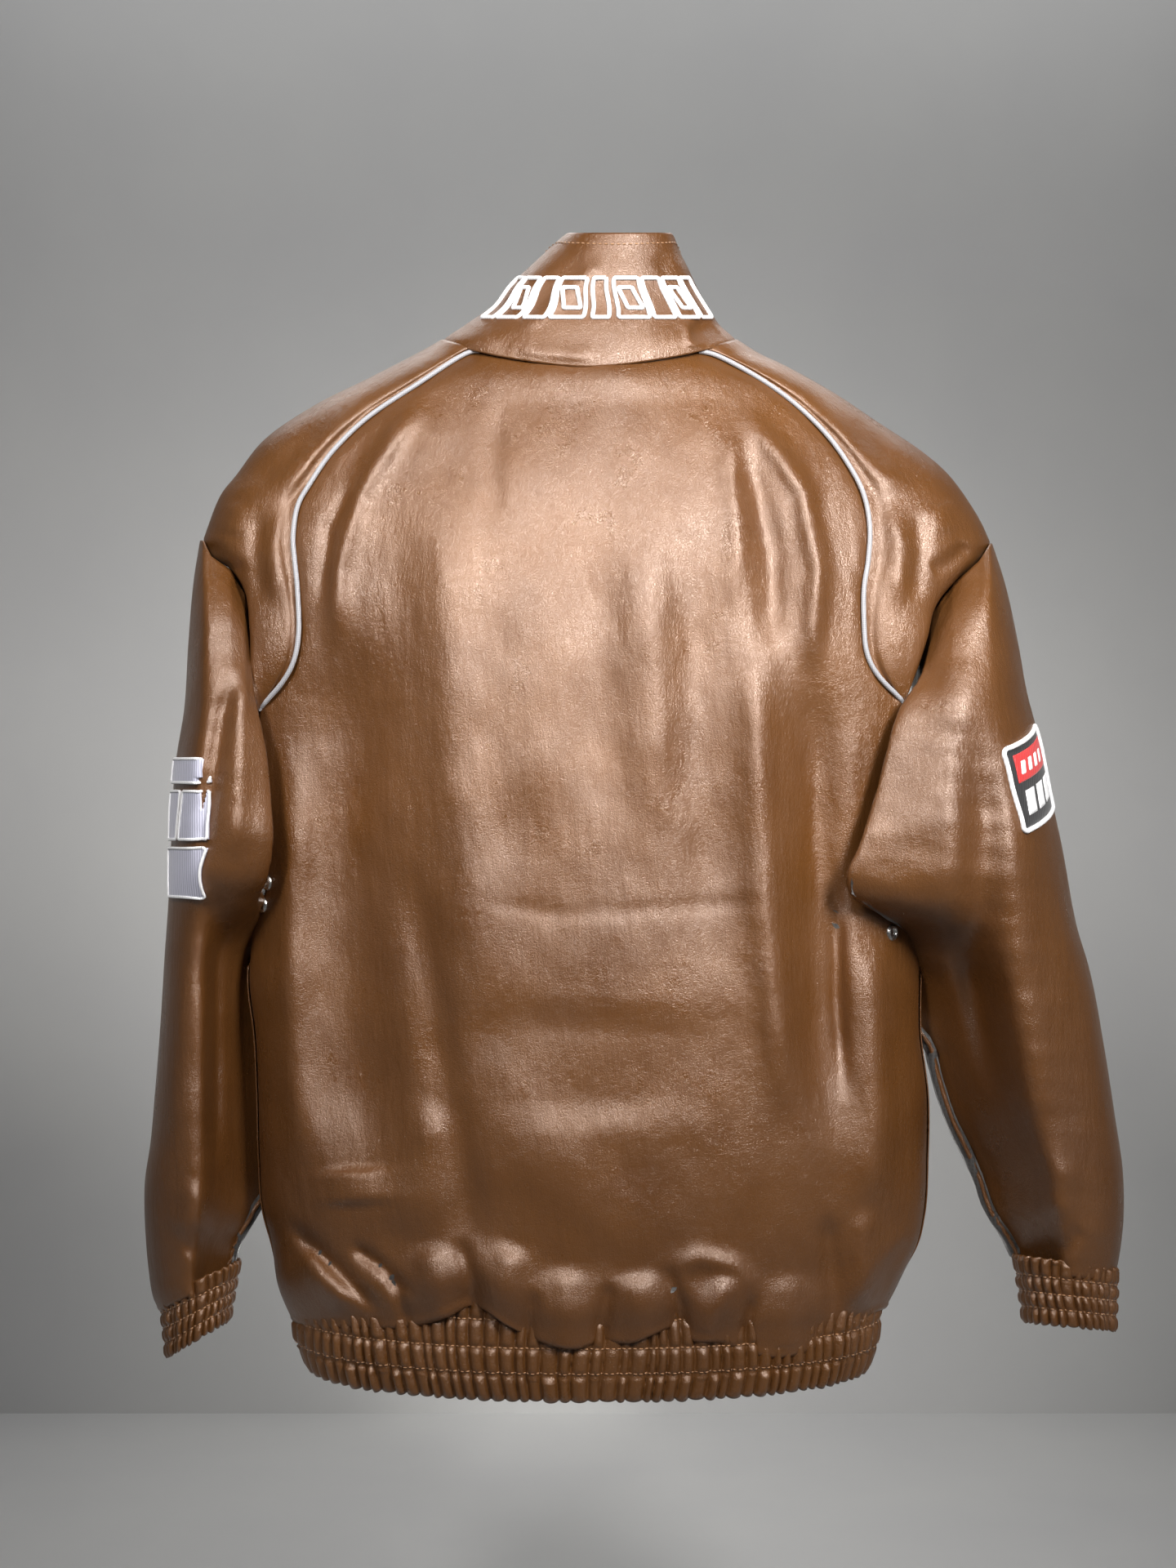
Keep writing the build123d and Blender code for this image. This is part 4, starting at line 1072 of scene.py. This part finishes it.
def quad(corners, a, b):
    """Inside four corners given in order round it, a across and b down."""
    p = [np.array(c, float) for c in corners]
    return (p[0] * (1 - a) + p[1] * a) * (1 - b) + (p[3] * (1 - a) + p[2] * a) * b


def sewn_block(name, side, corners, lift, material, cells=30):
    """An embroidered block lying on the sleeve, its edges rounded down."""
    grid = np.zeros((cells, cells, 3))
    for i, b in enumerate(np.linspace(0, 1, cells)):
        for j, a in enumerate(np.linspace(0, 1, cells)):
            s, z = quad(corners, a, b)
            here, out = sleeve_spot(side, s, z)
            rim = min(a, 1 - a, b, 1 - b) * cells
            grid[i, j] = here + out * (lift - 0.5 * math.exp(-rim))
    inward = (SIDES[side] * 262, 10, -330)
    return sheet_mesh(name, grid, material, thick=lift + 0.3, inward=inward)


def sewn_edge(name, side, corners, lift, radius, material):
    """A satin-stitched cord round a block."""
    path = []
    for k in range(4):
        a, b = np.array(corners[k], float), np.array(corners[(k + 1) % 4], float)
        for t in np.linspace(0.04, 0.96, 14):
            here, out = sleeve_spot(side, *(a + (b - a) * t))
            path.append(here + out * lift)
    path = along(path, 160, closed=True)
    return tube_mesh(name, np.vstack([path, path[:1]]), radius, material, 8)


EMBLEM_BLOCKS = [[(106, -270), (22, -270), (22, -286), (106, -286)],
                 [(106, -292), (76, -292), (68, -325), (106, -325)],
                 [(69, -292), (22, -292), (22, -325), (61, -325)],
                 [(106, -331), (22, -331), (36, -364), (92, -364)]]
left = []
for i, block in enumerate(EMBLEM_BLOCKS):
    left.append(sewn_block(f"emblem_{i}", "left", block, 2.3, SILVER_THREAD))
    left.append(sewn_edge(f"emblem_edge_{i}", "left", block, 2.1, 1.0, WHITE_THREAD))
BADGE = [(102, -264), (25, -247), (23, -303), (100, -320)]


def badge_part(a0, a1, b0, b1, lean=0.0):
    """Corners of a part of the badge, from shares across and down it."""
    return [quad(BADGE, a0 + lean, b0), quad(BADGE, a1 + lean, b0), quad(BADGE, a1, b1), quad(BADGE, a0, b1)]


right = [sewn_block("badge_field", "right", BADGE, 1.0, BLACK_THREAD, 26),
         sewn_edge("badge_edge", "right", BADGE, 0.9, 1.7, WHITE_THREAD),
         sewn_block("badge_band", "right", badge_part(0.10, 0.92, 0.10, 0.44), 1.5, RED_THREAD)]
for i, (a0, a1) in enumerate(((0.16, 0.26), (0.32, 0.42), (0.48, 0.58), (0.64, 0.74))):
    tick = badge_part(a0, a1, 0.19, 0.36, 0.03)
    right.append(sewn_block(f"badge_tick_{i}", "right", tick, 1.9, WHITE_THREAD, 7))
for i, (a0, a1) in enumerate(((0.14, 0.34), (0.41, 0.61), (0.68, 0.88))):
    bar = badge_part(a0, a1, 0.55, 0.84, 0.04)
    right.append(sewn_block(f"badge_bar_{i}", "right", bar, 1.6, WHITE_THREAD, 8))
for side, parts in (("left", left), ("right", right)):
    emblem = join(f"sleeve_emblem_{side}", parts)
    bend_with_sleeve(emblem)
    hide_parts(f"sleeve_patch_{side}")

# ---- collar embroidery and stitching -----------------------------------------------------------------
def collar_spot(phi, z, lift):
    """The collar's outside at phi and z, lifted off it."""
    x, y = collar_point(phi, z)
    y = y + np.clip(np.cos(phi) * 2.5, 0, 1) * collar_relief(x, z)
    return placed(x + lift * np.sin(phi), y + lift * np.cos(phi), z)


cords = []
COLLAR_BLOCKS = ((15, 0), (17, 1), (13, 0), (19, 1), (9, 0), (18, 1), (14, 0), (17, 1), (15, 0))
for i, (width, nested) in enumerate(COLLAR_BLOCKS):
    middle = 75 - 18.7 * i
    for ring in range(1 + nested):
        w, low, high = width / 2 - 4.4 * ring, 33 + 6.5 * ring, 60 - 6.5 * ring
        corners = [(middle - w + 3, high), (middle + w + 3, high),
                   (middle + w - 3, low), (middle - w - 3, low)]
        path = np.vstack([np.array(corners[k]) + (np.array(corners[(k + 1) % 4]) - np.array(corners[k]))
                          * np.linspace(0.05, 0.95, 10)[:, None] for k in range(4)])
        path = along(path, 100, closed=True)
        path = np.vstack([path, path[:1]])
        line = collar_spot(path[:, 0] / 64, path[:, 1], 0.8)
        cords.append(tube_mesh(f"cord_{i}_{ring}", line, 1.5, WHITE_THREAD, 8))
embroidery = join("collar_embroidery_cord", cords)
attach(embroidery, "torso")
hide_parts("collar_embroidery")

TOP_ROW = 63
out = normals(collar_out, inside=COLLAR_INSIDE)[TOP_ROW]
collar_stitching = stitches("collar_stitching", collar_out[TOP_ROW] + out * 0.3, out, STITCH, 2.6, 1.5, 0.5)
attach(collar_stitching, "torso")

# ---- linings of the body ---------------------------------------------------------------------------
back_lining = lining_mesh("back_lining_cloth",
                          [back_grid[:-14], shoulders["left"][0][:, 2:], shoulders["right"][0][:, 2:]],
                          3.2, BODY_INSIDE)
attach(back_lining, "torso")
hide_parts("back_lining")
for side, sign in SIDES.items():
    grid = fronts[side][:, :-14]
    inner = lining_mesh(f"front_lining_cloth_{side}", [grid, shoulders[side][1][:, 2:]], 9.0, BODY_INSIDE)
    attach(inner, "torso")
    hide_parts(f"front_lining_{side}")

# ---- hem elastic -----------------------------------------------------------------------------------
elastic_grid = band_grid(lambda z: hem_ring(z, 700)[24:-24] * [0.972, 0.945, 1],
                         HEM_TOP - 4, HEM_LOW + 4, 20, 652, 4.5, 1.2,
                         (0.33, 0.66), 15, False, 0.0)
elastic = sheet_mesh("hem_elastic_cloth", elastic_grid, ELASTIC, thick=1.2, inward=HEM_INSIDE)
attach(elastic, "torso")
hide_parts("hem_elastic")

# ---- underarm eyelets -------------------------------------------------------------------------------
def eyelet(name, side, x, z):
    """A rolled metal ring with a dark hole, set on the back at x, z as seen."""
    sign = SIDES[side]
    flat = back_grid[:250].reshape(-1, 3)
    goal = placed(np.array(sign * x), np.array(85.0), np.array(float(z)))
    i = int(np.argmin(np.abs(flat[:, 0] - goal[0]) + np.abs(flat[:, 2] - goal[2])))
    r, c = divmod(i, back_grid.shape[1])
    n = normals(back_grid)[r, c]
    n = n * np.sign(n[1])
    a = np.cross(n, [0, 0, 1.0])
    a /= np.linalg.norm(a)
    b = np.cross(n, a)
    profile = [(0.2, 0.2), (2.6, 0.2), (2.7, 1.2), (3.4, 1.9), (4.4, 1.8), (5.3, 0.9), (5.5, -0.2)]
    turn = np.linspace(0, 2 * math.pi, 32, endpoint=False)
    grid = np.array([[back_grid[r, c] + n * h + radius * (math.cos(t) * a + math.sin(t) * b) for t in turn]
                     for radius, h in profile])
    return add_mesh(name, grid, grid_faces(len(profile), 32, True), NICKEL)


EYELETS = {"left": ((232, -357), (230, -374)), "right": ((200, -370), (213, -390))}
for side in SIDES:
    rings = join(f"eyelet_rings_{side}",
                 [eyelet(f"eyelet_{side}_{i}", side, x, z) for i, (x, z) in enumerate(EYELETS[side])])
    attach(rings, "torso")
    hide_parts(f"underarm_eyelets_{side}")

# ---- inside and front details ------------------------------------------------------------------------
def strip(name, path, width, across, material, thick=0.8, wave=0.5):
    """A soft strip along a path, width across."""
    line = along(path, 60)
    across = np.array(across, float)
    grid = np.stack([line + across * w for w in np.linspace(-width / 2, width / 2, 8)], axis=1)
    grid[..., 1] += wave * noise(grid[..., 0], grid[..., 2], 24, 61)
    return sheet_mesh(name, grid, material, thick=thick, inward=BODY_INSIDE)


LOOP_PATH = [(-30, 43, -2), (-22, 42, -12), (0, 41, -15), (22, 42, -12), (30, 43, -2)]
loop = strip("hanger_loop_cloth", LOOP_PATH, 5.5, (0, 0, 1), TAPE, 1.2, 0.3)
label = strip("neck_label_cloth", [(-30, 44, -38), (0, 45, -38.6), (30, 44, -38)],
              34, (0, 0, 1), LABEL, 0.7, 0.4)
FLAP_PATH = [(-4, -82, -128), (-4, -82.4, -300), (-4, -82, -500), (-4, -82.2, -678)]
flap = strip("storm_flap_leather", FLAP_PATH, 32, (1, 0, 0), LEATHER_BAND, 0.9, 0.35)
for piece, node, name in ((loop, "hanger_loop", "tape"), (label, "neck_label", "label"),
                          (flap, "storm_flap", "leather")):
    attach(piece, "torso")
    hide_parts(node)

POCKET_MIDDLE, POCKET_UP = np.array([125.5, -73.4, -472.5]), np.array([-0.2087, -0.0606, 0.9761])
POCKET_OUT = np.array([0.279, -0.9603, 0.0])
OUTLINE_COUNT = 200
# Across the welt from the slot outwards, and the height over the leather.
WELT_PROFILE = [(0.0, -1.2), (0.0, 1.0), (0.08, 2.1), (0.3, 2.4), (0.7, 2.3), (0.93, 2.0), (1.0, 1.0),
                (1.0, -0.2)]


def rounded(length, width, radius):
    """A rounded rectangle on the pocket's plane, starting at its right."""
    angle = np.linspace(0, 2 * math.pi, OUTLINE_COUNT, endpoint=False)
    power = 0.30 if radius < width / 2 - 1 else 1.0
    x = np.sign(np.cos(angle)) * np.abs(np.cos(angle)) ** power * width / 2
    z = np.sign(np.sin(angle)) * np.abs(np.sin(angle)) ** (power if power < 1 else 0.16) * length / 2
    return np.stack([x, z], 1)


for side, sign in SIDES.items():
    flip = np.array([sign, 1, 1])
    middle, up, out = POCKET_MIDDLE * flip, POCKET_UP * flip, POCKET_OUT * flip
    side_way = np.cross(up, out)

    inner, outer = rounded(150, 10, 5), rounded(172, 26, 4)
    welt_grid = np.array([[middle + side_way * q[0] + up * q[1] + out * h
                           for q in inner + (outer - inner) * t] for t, h in WELT_PROFILE])
    welt = add_mesh(f"pocket_welt_leather_{side}", welt_grid,
                    grid_faces(len(WELT_PROFILE), OUTLINE_COUNT, True), LEATHER)
    line = inner + (outer - inner) * 0.75
    line = [middle + side_way * q[0] + up * q[1] + out * 2.5 for q in np.vstack([line, line[:1]])]
    sewn = stitches(f"pocket_stitching_{side}", line, out, STITCH, 2.4, 1.3, 0.4)
    piece = join(f"pocket_welt_sewn_{side}", [welt, sewn])
    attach(piece, "torso")
    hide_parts(f"pocket_welt_{side}")

    bag = []
    for z in np.linspace(-400, -600, 46):
        low_in = 60 if z < -440 else 60 + (z + 440)
        x_in, x_out = low_in, 128 + (150 - 128) * min(1, (-398 - z) / 162) - max(0, (-560 - z)) * 0.45
        x = np.linspace(x_in, x_out, 24) * sign
        half_width, back_d, front_d = (float(table(z, BODY, k)) for k in (1, 2, 3))
        y = (back_d - front_d) / 2 - (back_d + front_d) / 2 * np.sqrt(1 - (x / half_width) ** 2)
        bag.append(np.stack([x, y + 7.2 + 0.5 * noise(x, z + 0 * x, 30, 71), z + 0 * x], 1))
    bag = sheet_mesh(f"pocket_bag_cloth_{side}", np.array(bag), LINING, thick=0.6, inward=(0, 0, -480))
    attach(bag, "torso")
    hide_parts(f"pocket_bag_{side}")

# ---- floor, light and camera -------------------------------------------------------------------------
FLOOR_Z, WALL_Y, WALL_TOP, STAGE_HALF = -1150, -1500, 3000, 4000


def stage_floor():
    west, east = -STAGE_HALF, STAGE_HALF
    floor = add_mesh("floor", [(west, STAGE_HALF, FLOOR_Z), (west, WALL_Y, FLOOR_Z),
                               (east, STAGE_HALF, FLOOR_Z), (east, WALL_Y, FLOOR_Z)],
                     [[0, 1, 3, 2]], floor_material())
    wall = add_mesh("backdrop", [(west, WALL_Y, FLOOR_Z), (east, WALL_Y, FLOOR_Z),
                                 (east, WALL_Y, WALL_TOP), (west, WALL_Y, WALL_TOP)],
                    [[0, 1, 2, 3]], floor_material())


def floor_material():
    m, nodes, links, shader = new_material("pale_floor")
    tone = noise_node(nodes, links, 3.0)
    ramp(nodes, links, tone.outputs["Fac"], [(0.3, (0.60, 0.60, 0.60)), (0.7, (0.64, 0.64, 0.63))],
         shader.inputs["Base Color"])
    shader.inputs["Roughness"].default_value = 0.9
    return m


def area_light(name, place, aim, size, power, colour=(1, 1, 1), spread=180):
    data = bpy.data.lights.new(name, "AREA")
    data.shape = "RECTANGLE"
    data.size, data.size_y = size
    data.energy = power
    data.spread = math.radians(spread)
    data.color = colour
    lamp = bpy.data.objects.new(name, data)
    lamp.location = place
    lamp.rotation_euler = (Vector(aim) - Vector(place)).to_track_quat("-Z", "Y").to_euler()
    bpy.context.scene.collection.objects.link(lamp)


stage_floor()
area_light("key", (0.05, 1.00, 1.00), (0, 0.05, -0.1), (1.2, 0.4), 5, (1.0, 0.97, 0.94))
area_light("left_box", (0.60, 1.60, 0.62), (0.07, 0.1, -0.08), (0.22, 0.46), 2.9, (1.0, 0.98, 0.96), 48)
area_light("right_box", (-0.78, 1.45, 0.58), (-0.17, 0.1, -0.10), (0.34, 0.60), 5.6, (1.0, 0.98, 0.96), 52)
area_light("fill_left", (2.2, 0.9, 0.1), (0.1, 0, -0.35), (0.4, 1.6), 2)
area_light("fill_right", (-2.2, 0.9, 0.0), (-0.1, 0, -0.35), (0.4, 1.6), 4)
area_light("front_fill", (0.0, -1.25, 1.15), (0, 0, -0.3), (2.0, 0.5), 14)
world = bpy.data.worlds.new("world")
bpy.context.scene.world = world
world.use_nodes = True
world.node_tree.nodes["Background"].inputs["Color"].default_value = (0.80, 0.82, 0.85, 1)
world.node_tree.nodes["Background"].inputs["Strength"].default_value = 0.07
bpy.context.scene.view_settings.view_transform = "Standard"

camera_data = bpy.data.cameras.new("camera")
camera_data.sensor_fit = "VERTICAL"
camera_data.angle_y = 2 * math.atan(VIEW_HEIGHT / 2 / EYE_Y)
camera = bpy.data.objects.new("camera", camera_data)
camera.location = (0, EYE_Y * MM, EYE_Z * MM)
camera.rotation_euler = (math.pi / 2, 0, math.pi)
bpy.context.scene.collection.objects.link(camera)
bpy.context.scene.camera = camera
